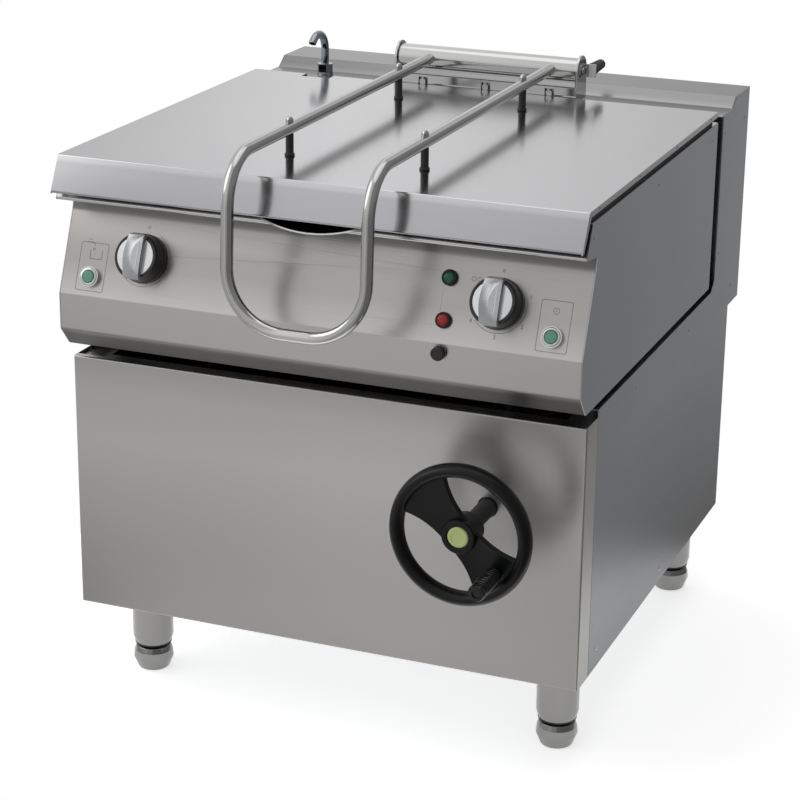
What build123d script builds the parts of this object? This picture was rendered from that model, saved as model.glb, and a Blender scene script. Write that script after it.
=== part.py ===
from build123d import *
import math
import os

# Tilting bratt pan: a cabinet on four legs, a pan that tips forward about a low front axle when a
# handwheel is cranked, a sprung lid with a bent handle, and a fixed rear column with a water tap.
# x runs to the operator's right, y to the rear and z up. While the pieces are drawn, y = 0 is the
# outer face of the front panel and z = 0 is the floor. Lengths are in millimetres.

# Casing sheets
width = 800.0
sheet = 1.5
bend = 1.5
hem = 12.0
cabinet_depth = 784.0
cabinet_bottom = 146.0
panel_top = 546.0
panel_return = 50.0
panel_gap = 1.0
side_panel_top = 557.0

# Rear column
column_front = 681.0
column_rear = 848.7
column_underside = 502.0
ledge_height = 844.6
ledge_end = 739.0
slope_end = 762.0
column_height = 860.5
slot_corner = 24.0
louvre_rows = 8
louvre_length = 120.0
louvre_gap = 4.0
louvre_pitch = 14.0
louvre_x = 220.0
louvre_low = 560.0

# Frame of square tube
tube_side = 40.0
tube_wall = 2.0
frame_bottom = 148.0
top_rail_bottom = 500.0
beam_front = 586.0
beam_rise = 10.0
buffer_x = 300.0
buffer_radius = 16.0
rest_gap = 0.3

# Legs and feet
leg_x = 337.5
leg_front_y = 112.5
leg_rear_y = 738.6
leg_diameter = 64.0
leg_wall = 2.0
leg_taper_start = 56.0
leg_neck = 57.0
leg_end = 44.0
leg_plate_side = 104.0
leg_plate = 4.0
foot_top = 40.0
foot_waist_height = 18.0
foot_flats = 60.5
foot_flare = 63.0
foot_base = 50.0
foot_collar = 28.0
stem_diameter = 16.0
stem_top = 84.0
stem_play = 0.1
nut_plate = 8.0

# Tilting body
axis_y = 25.0
axis_z = 618.0
body_bottom = 569.0
body_rear = 646.0
deck_height = 841.0
deck_sheet = 2.0
band_front = -35.0
band_bottom = 598.0
fold_height = 653.0
undercut_y = -11.0
fascia_top_y = 12.0
fascia_top_z = 768.0
fascia_flange = 14.0
lip_top_y = -11.0
lip_bottom_y = -36.0
lip_bottom_z = 793.0
lip_return_y = 30.0
lip_return_z = 785.7
neck_y = 17.0
side_flange_front = 170.0
cover_front = 125.0
rail_height = 24.0
rail_width = 30.0

# Pan vessel
well_half_width = 353.0
well_front = 90.0
well_rear = 610.0
well_floor = 631.0
well_wall = 3.0
well_corner = 40.0
well_floor_radius = 15.0
base_plate = 12.0
base_plate_inset = 10.0
spout_radius = 221.0
spout_bottom = 791.0
spout_lead = 8.0

# Heating and insulation
element_diameter = 8.5
element_pitch = 42.0
element_count = 4
element_inset = 60.0
element_play = 0.05
tray_floor = 600.0
tray_inset = 80.0
wool_inset = 40.0
side_wool_front = 225.0

# Tilting axle
tilt_range = 90.0
journal_diameter = 30.0
running_fit = 0.08
cheek_plate = 6.0
cheek_tail_y = 220.0
cheek_tail_z = 690.0
cheek_nose = 34.0
hook_plate = 10.0
hook_inner_x = 368.0
hook_boss = 34.0
hook_arm_low = 14.0
hook_arm_high = 34.0
hook_post_start = 74.0
hook_post_width = 54.0
hook_foot = 34.0
hook_foot_plate = 8.0
hook_chamfer = 20.0
bush_wall = 5.0
bush_flange = 3.0
collar_gap = 0.5
collar_width = 6.0
collar_wall = 7.0
journal_reach = 10.0
torque_tube_diameter = 42.0
torque_tube_wall = 3.0

# Screw jack and lever
jack_x = 258.0
spindle_z = 408.0
spindle_diameter = 20.0
spindle_depth = 22.0
lever_arm = 70.0
lever_plate = 8.0
lever_side_gap = 1.0
lever_rim = 10.0
lever_boss = 12.0
lever_slot_play = 7.0
jack_screw_diameter = 24.0
jack_pin = 16.0
pin_head = 4.0
pin_head_lap = 3.0
housing_side = 84.0
housing_height = 96.0
housing_corner = 10.0
housing_flange = 14.0
housing_flange_height = 10.0
housing_setback = 4.0
screw_boss_radius = 28.0
screw_boss_height = 14.0
screw_tail = 20.0
shelf_plate = 8.0
shelf_overhang = 20.0
shelf_gusset = 5.0
shelf_lap = 6.0
guard_gap = 9.0
guard_wall = 2.0
guard_flange = 10.0

# Handwheel
wheel_diameter = 208.0
wheel_offset = 110.0
rim_width = 20.0
rim_depth = 28.0
hub_diameter = 50.0
hub_front = 12.0
hub_back = 30.0
cap_diameter = 31.0
cap_depth = 5.0
web_thickness = 11.0
web_waist = 24.0
web_shoulder = 58.0
web_angle = -45.0
web_inset = 2.0
grip_radius = 70.0
grip_angle = -40.0
grip_length = 84.0
grip_diameter = 25.0
grip_nose = 21.0
grip_tail = 19.0
grip_gap = 0.5
grip_bolt = 8.0
sleeve_diameter = 27.0
sleeve_inside = 20.0
panel_hole = 30.0

# Lid
lid_top = 858.0
lid_half_width = 399.0
lid_front = -25.0
lid_rear = 647.5
lid_flange = 8.5
apron_y = -52.0
apron_z = 806.0
apron_hem = 8.0
apron_strip = 8.0
notch_left = -306.0
notch_width = 50.0
notch_depth = 24.0
seal_width = 8.0
seal_inset = 1.0
seal_front = -7.0
seal_stand = 1.0

# Lid hinge
hinge_y = 680.0
hinge_z = 896.0
hinge_centre_x = 5.5
hinge_span = 315.0
hinge_tube_diameter = 40.0
hinge_tube_wall = 2.0
hinge_shaft_diameter = 14.0
hinge_plate = 3.5
hinge_bush_length = 16.0
hinge_side_gap = 1.0
cheek_radius = 25.0
bracket_sheet = 3.0
bracket_leg = 4.0
bracket_leg_bottom = 790.0
bracket_floor_gap = 4.0
bracket_top = 872.0
window_width = 16.0
window_height = 14.5
window_sill = 6.0
bolt_pitch = 109.0
bolt_centre_x = 9.0
bolt_diameter = 6.0
bolt_flats = 10.0
clamp_bar = 5.0
stop_radius = 10.5
stop_taper = 2.5
stop_offset = 10.0
stop_length = 58.0
spring_turns = 9
spring_wire = 4.0
spring_coil = 12.5
spring_play = 0.3
spring_length = 110.0

# Lid handle
arm_diameter = 18.0
arm_wall = 2.0
arm_spacing = 208.0
arm_centre_x = 11.0
arm_z = 898.0
handle_front_y = -112.0
handle_lean = 12.0
handle_bottom_z = 662.0
handle_bend = 70.0
handle_corner = 85.0
post_diameter = 12.0
post_front_y = 104.0
post_rear_y = 526.0
acorn_flats = 10.0
acorn_height = 5.0

# Controls, with distances measured down the slanted fascia from its top edge
knob_x = 271.0
knob_down = 60.0
knob_diameter = 72.0
knob_height = 40.0
knob_gap = 1.0
skirt_height = 12.0
skirt_rim = 6.0
skirt_taper = 3.0
cap_inset = 4.0
cap_height = 8.0
finger_bar = 13.0
finger_scoop = 60.0
knob_spindle = 6.0
button_x = 353.0
button_down = 96.0
button_diameter = 17.0
button_proud = 9.0
button_sink = 4.0
ring_diameter = 30.0
ring_height = 7.0
switch_hole = 22.0
barrel_play = 0.2
barrel_depth = 32.0
lamp_x = 195.4
lamp_green_down = 32.6
lamp_red_down = 91.9
lamp_ring = 22.0
lamp_hole = 15.0
lamp_lens = 14.8
lamp_depth = 26.0
reset_x = 194.0
reset_z = 640.0
reset_travel = 3.0
reset_ring = 3.0
reset_stem = 7.8
switch_side = 44.0
switch_depth = 46.0
thermostat_side = 50.0
thermostat_depth = 30.0

# Tap and water
tap_x = -303.0
tap_y = 716.0
tap_pipe = 13.0
tap_wall = 1.5
tap_bend = 30.0
tap_top = 923.0
tap_turn = 142.0
tap_flange_diameter = 27.0
tap_flange_height = 3.0
tap_flats = 24.0
tap_nut_top = 18.0
tap_neck = 10.2
tap_neck_depth = 34.0
tap_seat = 10.0
valve_z = 700.0
valve_side = 32.0
valve_height = 30.0
coil_radius = 18.0
coil_length = 36.0
pipe_radius = 6.0
pipe_bend = 26.0
inlet_x = -200.0
inlet_z = 430.0
inlet_radius = 13.2
inlet_length = 22.0
inlet_flats = 32.0
inlet_bore = 9.0

# Electrical parts
gland_x = 200.0
gland_z = 400.0
gland_flats = 36.0
gland_radius = 15.0
cable_radius = 8.0
nut_height = 8.0
gland_length = 24.0
bond_x = 280.0
bond_z = 300.0
bond_radius = 3.0
bond_length = 20.0
terminal_x = 240.0
terminal_side = 120.0
terminal_depth = 60.0
contactor_count = 3
contactor_width = 45.0
contactor_pitch = 60.0
contactor_height = 80.0
contactor_depth = 80.0
din_rail = 8.0

# Places that follow from the sizes above
inner_x = width / 2 - sheet
grip_front = -wheel_offset - grip_length
shift_y = -(grip_front + column_rear) / 2
frame_front = sheet
frame_rear = cabinet_depth - sheet
top_rail_top = top_rail_bottom + tube_side
standing = (Align.CENTER, Align.CENTER, Align.MIN)
os.makedirs("parts", exist_ok=True)


def save(name, *shapes):
    """Write one sub-part, moved so that the origin lies on the floor under the middle of the object."""
    solids = [Pos(0, shift_y, 0) * solid for shape in shapes for solid in shape.solids()]
    export_step(Compound(solids) if len(solids) > 1 else solids[0], f"parts/{name}.step")


def block(x0, x1, y0, y1, z0, z1):
    """Box between two corners."""
    return Pos((x0 + x1) / 2, (y0 + y1) / 2, (z0 + z1) / 2) * Box(x1 - x0, y1 - y0, z1 - z0)


def prism(points, x0, x1):
    """Closed outline in the y-z plane, pulled along x."""
    face = Face(Wire.make_polygon([Vector(x0, y, z) for y, z in points], close=True))
    return Part() + Solid.extrude(face, Vector(x1 - x0, 0, 0))


def rod(start, end, radius, end_radius=None):
    """Round bar between two points, or a taper where a second radius is given."""
    a, b = Vector(*start), Vector(*end)
    plane = Plane(origin=a, z_dir=b - a)
    if end_radius is None:
        return Part() + Solid.make_cylinder(radius, (b - a).length, plane)
    return Part() + Solid.make_cone(radius, end_radius, (b - a).length, plane)


def pipe(start, end, radius, bore):
    """Straight tube, open at both ends."""
    return rod(start, end, radius) - rod(start, end, bore)


def bent_bar(points, radii, radius, bore=0.0):
    """Round bar or tube along a route whose corners are rounded."""
    route = FilletPolyline(*points, radius=radii)
    plane = Plane(origin=route @ 0, z_dir=route % 0)
    section = plane * Circle(radius)
    if bore > 0:
        section -= plane * Circle(bore)
    return sweep(section, path=route)


def hexagon_bar(start, end, across_flats):
    """Six-sided bar between two points."""
    a, b = Vector(*start), Vector(*end)
    face = Plane(origin=a, z_dir=b - a) * RegularPolygon(across_flats / math.sqrt(3), 6)
    return extrude(face, amount=(b - a).length)


def offset_line(points, distance):
    """Mitred copy of an open y-z line, moved to its left by distance."""
    normals = []
    for (y0, z0), (y1, z1) in zip(points, points[1:]):
        length = math.hypot(y1 - y0, z1 - z0)
        normals.append(((z0 - z1) / length, (y1 - y0) / length))
    moved = []
    for i, (y, z) in enumerate(points):
        beside = normals[max(i - 1, 0):i + 1]
        ny = sum(n[0] for n in beside) / len(beside)
        nz = sum(n[1] for n in beside) / len(beside)
        scale = distance / (ny * ny + nz * nz)
        moved.append((y + ny * scale, z + nz * scale))
    return moved


def folded_sheet(points, thickness, x0, x1):
    """Sheet folded along an open y-z line, with bend radii; a positive thickness lies to its left."""
    near_radii, far_radii = [], []
    for (y0, z0), (y1, z1), (y2, z2) in zip(points, points[1:], points[2:]):
        left_turn = (y1 - y0) * (z2 - z1) > (z1 - z0) * (y2 - y1)
        far_inside = left_turn == (thickness > 0)
        near_radii.append(bend + abs(thickness) if far_inside else bend)
        far_radii.append(bend if far_inside else bend + abs(thickness))
    near = FilletPolyline(*[(x0, y, z) for y, z in points], radius=near_radii)
    far = FilletPolyline(*[(x0, y, z) for y, z in offset_line(points, thickness)], radius=far_radii)
    ends = [Line(near @ 0, far @ 0), Line(near @ 1, far @ 1)]
    edges = [*near.edges(), *far.edges(), *[end.edge() for end in ends]]
    return Part() + Solid.extrude(Face(Wire(edges)), Vector(x1 - x0, 0, 0))


def both_sides(shape):
    """The shape and its mirror image across the middle plane."""
    return [shape, mirror(shape, about=Plane.YZ)]


# Front panel: a tray with deep side returns, shallow hems above and below, and the spindle hole
def front_panel():
    half = width / 2
    outer = block(-half, half, 0, panel_return, cabinet_bottom, panel_top)
    outer = fillet(outer.faces().sort_by(Axis.Y)[0].edges(), bend + sheet)
    inner = block(-inner_x, inner_x, sheet, panel_return + hem, cabinet_bottom + sheet, panel_top - sheet)
    panel = outer - inner
    for z0 in (cabinet_bottom - sheet, panel_top - sheet):
        panel -= block(-inner_x, inner_x, hem, panel_return + hem, z0, z0 + 2 * sheet)
    return panel - rod((jack_x, -hem, spindle_z), (jack_x, hem, spindle_z), panel_hole / 2)


# Side panels: one sheet each, which runs up the column behind a round-cornered slot
def side_panel():
    y0 = panel_return + panel_gap
    outline = [
        (y0, cabinet_bottom), (y0, side_panel_top), (column_front, side_panel_top),
        (column_front, ledge_height), (ledge_end, ledge_height), (slope_end, column_height),
        (column_rear, column_height), (column_rear, column_underside),
        (cabinet_depth, column_underside), (cabinet_depth, cabinet_bottom)]
    panel = prism(outline, inner_x, width / 2)
    inside_corner = [edge for edge in panel.edges().filter_by(Axis.X)
                     if (edge.center() - Vector(edge.center().X, column_front, side_panel_top)).length < sheet]
    panel = fillet(inside_corner, slot_corner)
    flange_end = column_front - slot_corner
    return panel + block(inner_x - hem, inner_x, y0, flange_end, side_panel_top - sheet, side_panel_top)


# Column: ledge, slope and top folded from one sheet, and a louvred rear cover
def column_casing():
    line = [
        (column_front, side_panel_top + slot_corner), (column_front, ledge_height), (ledge_end, ledge_height),
        (slope_end, column_height), (column_rear - sheet, column_height)]
    casing = folded_sheet(line, -sheet, -inner_x, inner_x)
    low, high = ledge_height - tap_seat, ledge_height + tap_seat
    return casing - rod((tap_x, tap_y, low), (tap_x, tap_y, high), tap_neck + barrel_play)


def column_back():
    line = [(frame_rear, column_underside), (column_rear, column_underside), (column_rear, column_height)]
    cover = folded_sheet(line, sheet, -inner_x, inner_x)
    for side in (-1, 1):
        x0 = side * louvre_x - louvre_length / 2
        for row in range(louvre_rows):
            z0 = louvre_low + row * louvre_pitch
            cover -= block(x0, x0 + louvre_length, column_rear - hem, column_rear + hem, z0, z0 + louvre_gap)
    return cover


def back_panel():
    return block(-inner_x, inner_x, frame_rear, cabinet_depth, cabinet_bottom, column_underside)


# Frame: square tube rings below and above, with posts between them and up the column
def square_tube(x0, x1, y0, y1, z0, z1, along):
    wall_x, wall_y, wall_z = [0 if along == axis else tube_wall for axis in "xyz"]
    bore = block(x0 + wall_x, x1 - wall_x, y0 + wall_y, y1 - wall_y, z0 + wall_z, z1 - wall_z)
    return block(x0, x1, y0, y1, z0, z1) - bore


corner_x = [-inner_x, inner_x - tube_side]
corner_y = [frame_front, frame_rear - tube_side]


def ring(z0):
    z1 = z0 + tube_side
    rails = [square_tube(-inner_x, inner_x, y0, y0 + tube_side, z0, z1, "x") for y0 in corner_y]
    rails += [square_tube(x0, x0 + tube_side, corner_y[0] + tube_side, corner_y[1], z0, z1, "y") for x0 in corner_x]
    return sum(rails[1:], rails[0])


def posts():
    low = frame_bottom + tube_side
    return [square_tube(x0, x0 + tube_side, y0, y0 + tube_side, low, top_rail_bottom, "z")
            for x0 in corner_x for y0 in corner_y]


def column_posts():
    high = ledge_height - 2 * sheet
    return [square_tube(x0, x0 + tube_side, corner_y[1], frame_rear, top_rail_top, high, "z") for x0 in corner_x]


def rest_beam():
    """Folded channel across the side rails; the rubber buffers stand on it."""
    y1 = beam_front + tube_side
    top = top_rail_top + beam_rise
    beam = block(-inner_x, inner_x, beam_front, y1, top - rail_width, top)
    beam -= block(-inner_x, inner_x, beam_front + tube_wall, y1 - tube_wall, top - rail_width, top - tube_wall)
    for x0 in corner_x:
        beam -= block(x0, x0 + tube_side, beam_front, y1, top - rail_width, top_rail_top)
    return beam


def rest_buffers():
    y = beam_front + tube_side / 2
    top = body_bottom - rest_gap
    return [rod((x, y, top_rail_top + beam_rise), (x, y, top), buffer_radius) for x in (-buffer_x, buffer_x)]


def floor_tray():
    return block(-inner_x + tube_side, inner_x - tube_side, frame_front + tube_side, frame_rear - tube_side,
                 frame_bottom, frame_bottom + sheet)


# Legs: welded plate, round tube with a drawn-in end, and a screwed foot
leg_places = [(x, y) for y in (leg_front_y, leg_rear_y) for x in (-leg_x, leg_x)]


def leg_tube(x, y):
    r = leg_diameter / 2
    top = frame_bottom - leg_plate
    outer = rod((x, y, leg_taper_start), (x, y, top), r)
    outer += rod((x, y, leg_end), (x, y, leg_taper_start), leg_neck / 2, r)
    hollow = rod((x, y, leg_taper_start + nut_plate), (x, y, top), r - leg_wall)
    return outer - hollow - rod((x, y, leg_end), (x, y, top), stem_diameter / 2)


def leg_plates():
    plates = []
    for x, y in leg_places:
        x0 = -inner_x if x < 0 else inner_x - leg_plate_side
        y0 = min(y - leg_plate_side / 2, frame_rear - leg_plate_side)
        plates.append(block(x0, x0 + leg_plate_side, y0, y0 + leg_plate_side, frame_bottom - leg_plate, frame_bottom))
    return plates


def foot(x, y):
    """Bell-shaped shoe with worn flats for a spanner, a collar and the threaded stem."""
    waist = (x, y, foot_waist_height)
    shoe = rod((x, y, 0), waist, foot_base / 2, foot_flare / 2)
    shoe += rod(waist, (x, y, foot_top), foot_flare / 2, leg_neck / 2 - sheet)
    shoe &= hexagon_bar((x, y, 0), (x, y, foot_top), foot_flats)
    shoe += rod((x, y, foot_top), (x, y, leg_end), foot_collar / 2)
    return shoe + rod((x, y, leg_end), (x, y, stem_top), stem_diameter / 2 - stem_play)


# Tilting body: side walls, fascia, rear wall, under cover and rails
neck_z = lip_bottom_z + (neck_y - lip_bottom_y) * (lip_return_z - lip_bottom_z) / (lip_return_y - lip_bottom_y)
cover_half_width = well_half_width + well_wall


def body_side():
    outline = [
        (body_rear, deck_height), (body_rear, body_bottom), (undercut_y, body_bottom), (band_front, band_bottom),
        (band_front, fold_height), (fascia_top_y, fascia_top_z), (neck_y, neck_z), (lip_bottom_y, lip_bottom_z),
        (lip_top_y, deck_height)]
    side = prism(outline, inner_x, width / 2)
    side = fillet(side.edges().filter_by(Axis.X), bend + sheet)
    flange = block(inner_x - hem, inner_x, side_flange_front, body_rear - sheet, body_bottom, body_bottom + sheet)
    return side + flange


slant = math.hypot(fascia_top_y - band_front, fascia_top_z - fold_height)
down_y = (band_front - fascia_top_y) / slant
down_z = (fold_height - fascia_top_z) / slant


def on_slant(x, down, out=0.0):
    """Point on the slanted fascia, out millimetres in front of it."""
    return (x, fascia_top_y + down * down_y + out * down_z, fascia_top_z + down * down_z - out * down_y)


def slant_plane(x, down, out=0.0):
    """Plane on the slant: local x to the right, local y up the slant, local z outwards."""
    return Plane(origin=on_slant(x, down, out), x_dir=(1, 0, 0), z_dir=(0, down_z, -down_y))


def slant_hole(x, down, radius):
    return rod(on_slant(x, down, hem), on_slant(x, down, -hem), radius)


def fascia():
    line = [
        (lip_return_y, lip_return_z), (neck_y, neck_z), (fascia_top_y, fascia_top_z),
        (band_front, fold_height), (band_front, band_bottom), (undercut_y, body_bottom),
        (undercut_y + fascia_flange, body_bottom)]
    panel = folded_sheet(line, sheet, -inner_x, inner_x)
    for side in (-1, 1):
        panel -= slant_hole(side * knob_x, knob_down, knob_spindle)
        panel -= slant_hole(side * button_x, button_down, switch_hole / 2)
    for down in (lamp_green_down, lamp_red_down):
        panel -= slant_hole(lamp_x, down, lamp_hole / 2)
    return panel - rod((reset_x, band_front - hem, reset_z), (reset_x, band_front + hem, reset_z), lamp_hole / 2)


def rear_wall():
    return block(-inner_x, inner_x, body_rear - sheet, body_rear, body_bottom, deck_height - deck_sheet)


def under_cover():
    half = cover_half_width
    return block(-half, half, cover_front, body_rear - sheet, body_bottom, body_bottom + sheet)


def body_rail():
    """Channel that ties the vessel, the under cover and the rear wall together."""
    x0 = cover_half_width - rail_width
    y0, y1 = cover_front + hem, body_rear - sheet
    z0 = body_bottom + sheet
    z1 = z0 + rail_height
    channel = block(x0, cover_half_width, y0, y1, z0, z1)
    return channel - block(x0 + tube_wall, cover_half_width, y0, y1, z0 + tube_wall, z1 - tube_wall)


# Pan: drawn vessel, deck with front lip and pouring trough, and the thick base plate
def well_block(grow, z0, z1, floor_radius=0.0):
    """Round-cornered upright block, larger than the inside of the well by grow."""
    wide = 2 * (well_half_width + grow)
    deep = well_rear - well_front + 2 * grow
    outline = Pos(0, (well_front + well_rear) / 2, z0) * RectangleRounded(wide, deep, well_corner + grow)
    solid = extrude(outline, amount=z1 - z0)
    if floor_radius > 0:
        solid = fillet(solid.faces().sort_by(Axis.Z)[0].edges(), floor_radius)
    return solid


spout_axis_z = spout_bottom + spout_radius
lip_slope = (lip_top_y - lip_bottom_y) / (deck_height - lip_bottom_z)


def spout_space(radius):
    """Round trough from the well to a little way in front of the lip."""
    low = spout_bottom - 2 * deck_sheet
    top_front = lip_top_y - spout_lead
    low_front = top_front - (deck_height - low) * lip_slope
    trough = rod((0, low_front - hem, spout_axis_z), (0, well_front, spout_axis_z), radius)
    cut = [(well_front, low), (low_front, low), (top_front, deck_height), (well_front, deck_height)]
    return trough & prism(cut, -spout_radius, spout_radius)


def pan_well():
    outer = well_block(well_wall, well_floor - well_wall, deck_height - deck_sheet, well_floor_radius + well_wall)
    vessel = outer - well_block(0, well_floor, deck_height, well_floor_radius)
    return vessel - spout_space(spout_radius + deck_sheet)


def pan_deck():
    line = [
        (body_rear, deck_height), (lip_top_y, deck_height), (lip_bottom_y, lip_bottom_z),
        (lip_return_y, lip_return_z)]
    deck = folded_sheet(line, deck_sheet, -inner_x, inner_x)
    deck -= well_block(0, deck_height - hem, deck_height + hem)
    trough_outside = spout_space(spout_radius + deck_sheet)
    deck -= trough_outside
    return deck + (trough_outside - spout_space(spout_radius))


plate_bottom = well_floor - well_wall - base_plate


def pan_base():
    return well_block(-base_plate_inset, plate_bottom, well_floor - well_wall)


# Heating: hairpin elements in a tray under the base plate, and mineral wool
def heating_elements():
    z = plate_bottom - element_diameter / 2 - element_play
    y0, y1 = well_front + element_inset, well_rear - element_inset
    span = (2 * element_count - 1) * element_pitch
    loops = []
    for i in range(element_count):
        x0 = -span / 2 + 2 * i * element_pitch
        x1 = x0 + element_pitch
        bend_radius = element_pitch / 2 - element_play
        route = [(x0, y1, z), (x0, y0, z), (x1, y0, z), (x1, y1, z)]
        loops.append(bent_bar(route, [bend_radius, bend_radius], element_diameter / 2))
    return loops


def element_tray():
    half = well_half_width - tray_inset
    y0, y1 = well_front + tray_inset / 2, well_rear - tray_inset / 2
    tray = block(-half, half, y0, y1, tray_floor, plate_bottom)
    return tray - block(-half + sheet, half - sheet, y0 + sheet, y1 - sheet, tray_floor + sheet, plate_bottom)


def bottom_wool():
    half = well_half_width - wool_inset
    return block(-half, half, cover_front + hem, well_rear, body_bottom + sheet, tray_floor)


def side_wool():
    top = deck_height - deck_sheet
    return block(cover_half_width, inner_x - hem, side_wool_front, well_rear, body_bottom + 2 * sheet, top)


# Tilting axle: torque tube, cheeks with bored journals, collars, hook brackets and flanged bushes
def torque_tube():
    half = cover_half_width
    return pipe((-half, axis_y, axis_z), (half, axis_y, axis_z), torque_tube_diameter / 2,
                torque_tube_diameter / 2 - torque_tube_wall)


def on_axle(x0, x1, radius):
    return rod((x0, axis_y, axis_z), (x1, axis_y, axis_z), radius)


def axle_cheek():
    """Plate welded to the side of the well, with its journal bored for cables."""
    x0 = cover_half_width
    low = body_bottom + sheet
    nose = cheek_nose
    outline = [
        (axis_y, low), (cheek_tail_y, low), (cheek_tail_y, cheek_tail_z), (well_front, cheek_tail_z),
        (axis_y - nose * 0.7, axis_z + nose * 0.75), (axis_y - nose, axis_z + nose * 0.2),
        (axis_y - nose, axis_z - nose * 0.4), (axis_y - nose * 0.55, low)]
    journal_end = hook_inner_x + hook_plate + journal_reach
    cheek = prism(outline, x0, x0 + cheek_plate) + on_axle(x0, journal_end, journal_diameter / 2)
    return cheek - on_axle(x0, journal_end, journal_diameter / 4)


def journal_collar():
    x0 = hook_inner_x + hook_plate + collar_gap
    collar = on_axle(x0, x0 + collar_width, journal_diameter / 2 + collar_wall)
    return collar - on_axle(x0, x0 + collar_width, journal_diameter / 2)


def hook_bracket():
    """Hook-shaped plate: its arm comes from behind, clear of the casing that swings past below."""
    y0 = axis_y + hook_post_start
    y1 = y0 + hook_post_width
    low, high = axis_z - hook_arm_low, axis_z + hook_arm_high
    outline = [
        (axis_y, low), (y0, low), (y0, top_rail_top), (y1, top_rail_top), (y1, high - hook_chamfer),
        (y1 - hook_chamfer, high), (axis_y, high)]
    x0, x1 = hook_inner_x, hook_inner_x + hook_plate
    plate = prism(outline, x0, x1) + on_axle(x0, x1, hook_boss)
    plate += block(x1 - hook_foot, x0, y0, y1, top_rail_top, top_rail_top + hook_foot_plate)
    return plate - on_axle(x0, x1, journal_diameter / 2 + bush_wall)


def journal_bush():
    x0, x1 = hook_inner_x, hook_inner_x + hook_plate
    r = journal_diameter / 2
    bush = on_axle(x0, x1, r + bush_wall) + on_axle(x0 - bush_flange, x0, r + 2 * bush_wall)
    return bush - on_axle(x0 - bush_flange, x1, r + running_fit)


# Screw jack: slotted lever on the torque tube, lifting screw, gear housing, shelf and guard
half_tilt = math.radians(tilt_range / 2)
screw_y = axis_y + lever_arm
pin_rest_z = axis_z - lever_arm * math.tan(half_tilt)
screw_travel = 2 * lever_arm * math.tan(half_tilt)
slot_far = lever_arm / math.cos(half_tilt)
slot_half = jack_pin / 2 + lever_slot_play
lever_inner = jack_screw_diameter / 2 + lever_side_gap
housing_bottom = spindle_z - housing_height / 2
housing_top = spindle_z + housing_height / 2
housing_front = screw_y - housing_side / 2 + housing_setback
screw_low = housing_bottom - screw_travel - screw_tail


def lever_cheek(x0, x1):
    """Cheek with a radial slot, which points half the tilting range below the horizontal at rest."""
    cos, sin = math.cos(half_tilt), math.sin(half_tilt)
    half = slot_half + lever_rim

    def along(distance, across=0.0):
        return (axis_y + distance * cos - across * sin, axis_z - distance * sin - across * cos)

    def bar(start, end, half_width):
        corners = [
            along(start, -half_width), along(end, -half_width), along(end, half_width),
            along(start, half_width)]
        return prism(corners, x0, x1) + rod((x0, *along(end)), (x1, *along(end)), half_width)

    cheek = on_axle(x0, x1, torque_tube_diameter / 2 + lever_boss) + bar(0, slot_far, half)
    slot = bar(lever_arm, slot_far, slot_half) + rod((x0, *along(lever_arm)), (x1, *along(lever_arm)), slot_half)
    return cheek - slot - on_axle(x0, x1, torque_tube_diameter / 2)


def tilt_lever():
    inner, outer = lever_inner, lever_inner + lever_plate
    return [lever_cheek(jack_x - outer, jack_x - inner), lever_cheek(jack_x + inner, jack_x + outer)]


def jack_screw():
    """Lifting screw with an eye and its headed cross pin."""
    r = jack_screw_diameter / 2
    pin_end = lever_inner + lever_plate + lever_side_gap
    screw = rod((jack_x, screw_y, screw_low), (jack_x, screw_y, pin_rest_z - r), r)
    screw += rod((jack_x - r, screw_y, pin_rest_z), (jack_x + r, screw_y, pin_rest_z), r + tube_wall)
    screw += rod((jack_x - pin_end, screw_y, pin_rest_z), (jack_x + pin_end, screw_y, pin_rest_z), jack_pin / 2)
    for side in (-1, 1):
        x0 = jack_x + side * pin_end
        screw += rod((x0, screw_y, pin_rest_z), (x0 + side * pin_head, screw_y, pin_rest_z), slot_half + pin_head_lap)
    return screw


def jack_housing():
    """Bevel gear housing with a flanged base and bored bosses for the screw and the spindle."""
    half = housing_side / 2
    body = block(jack_x - half, jack_x + half, housing_front, screw_y + half, housing_bottom, housing_top)
    body = fillet(body.edges().filter_by(Axis.Z), housing_corner)
    boss_top = housing_top + screw_boss_height
    body += rod((jack_x, screw_y, housing_top), (jack_x, screw_y, boss_top), screw_boss_radius)
    foot_half = half + housing_flange
    body += block(jack_x - foot_half, jack_x + foot_half, housing_front, screw_y + half, housing_bottom,
                  housing_bottom + housing_flange_height)
    body -= rod((jack_x, screw_y, housing_bottom), (jack_x, screw_y, boss_top), jack_screw_diameter / 2 + running_fit)
    return body - rod((jack_x, housing_front, spindle_z), (jack_x, housing_front + spindle_depth, spindle_z),
                      spindle_diameter / 2 + running_fit)


def jack_shelf():
    """Shelf welded behind the upper front rail, with a back plate and two gussets."""
    half = housing_side / 2 + shelf_overhang
    y0 = frame_front + tube_side
    plate_back = y0 + shelf_lap
    y1 = screw_y + housing_side / 2 + shelf_lap
    low = housing_bottom - shelf_plate
    shelf = block(jack_x - half, jack_x + half, y0, plate_back, low, top_rail_top - shelf_lap)
    shelf += block(jack_x - half, jack_x + half, y0, y1, low, housing_bottom)
    for x0 in (jack_x - half, jack_x + half - shelf_gusset):
        gusset = [(plate_back, housing_bottom), (y1, housing_bottom), (plate_back, spindle_z)]
        shelf += prism(gusset, x0, x0 + shelf_gusset)
    shelf -= rod((jack_x, screw_y, low), (jack_x, screw_y, housing_bottom), jack_screw_diameter / 2 + shelf_lap)
    return shelf - rod((jack_x, y0, spindle_z), (jack_x, plate_back, spindle_z), panel_hole / 2)


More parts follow.
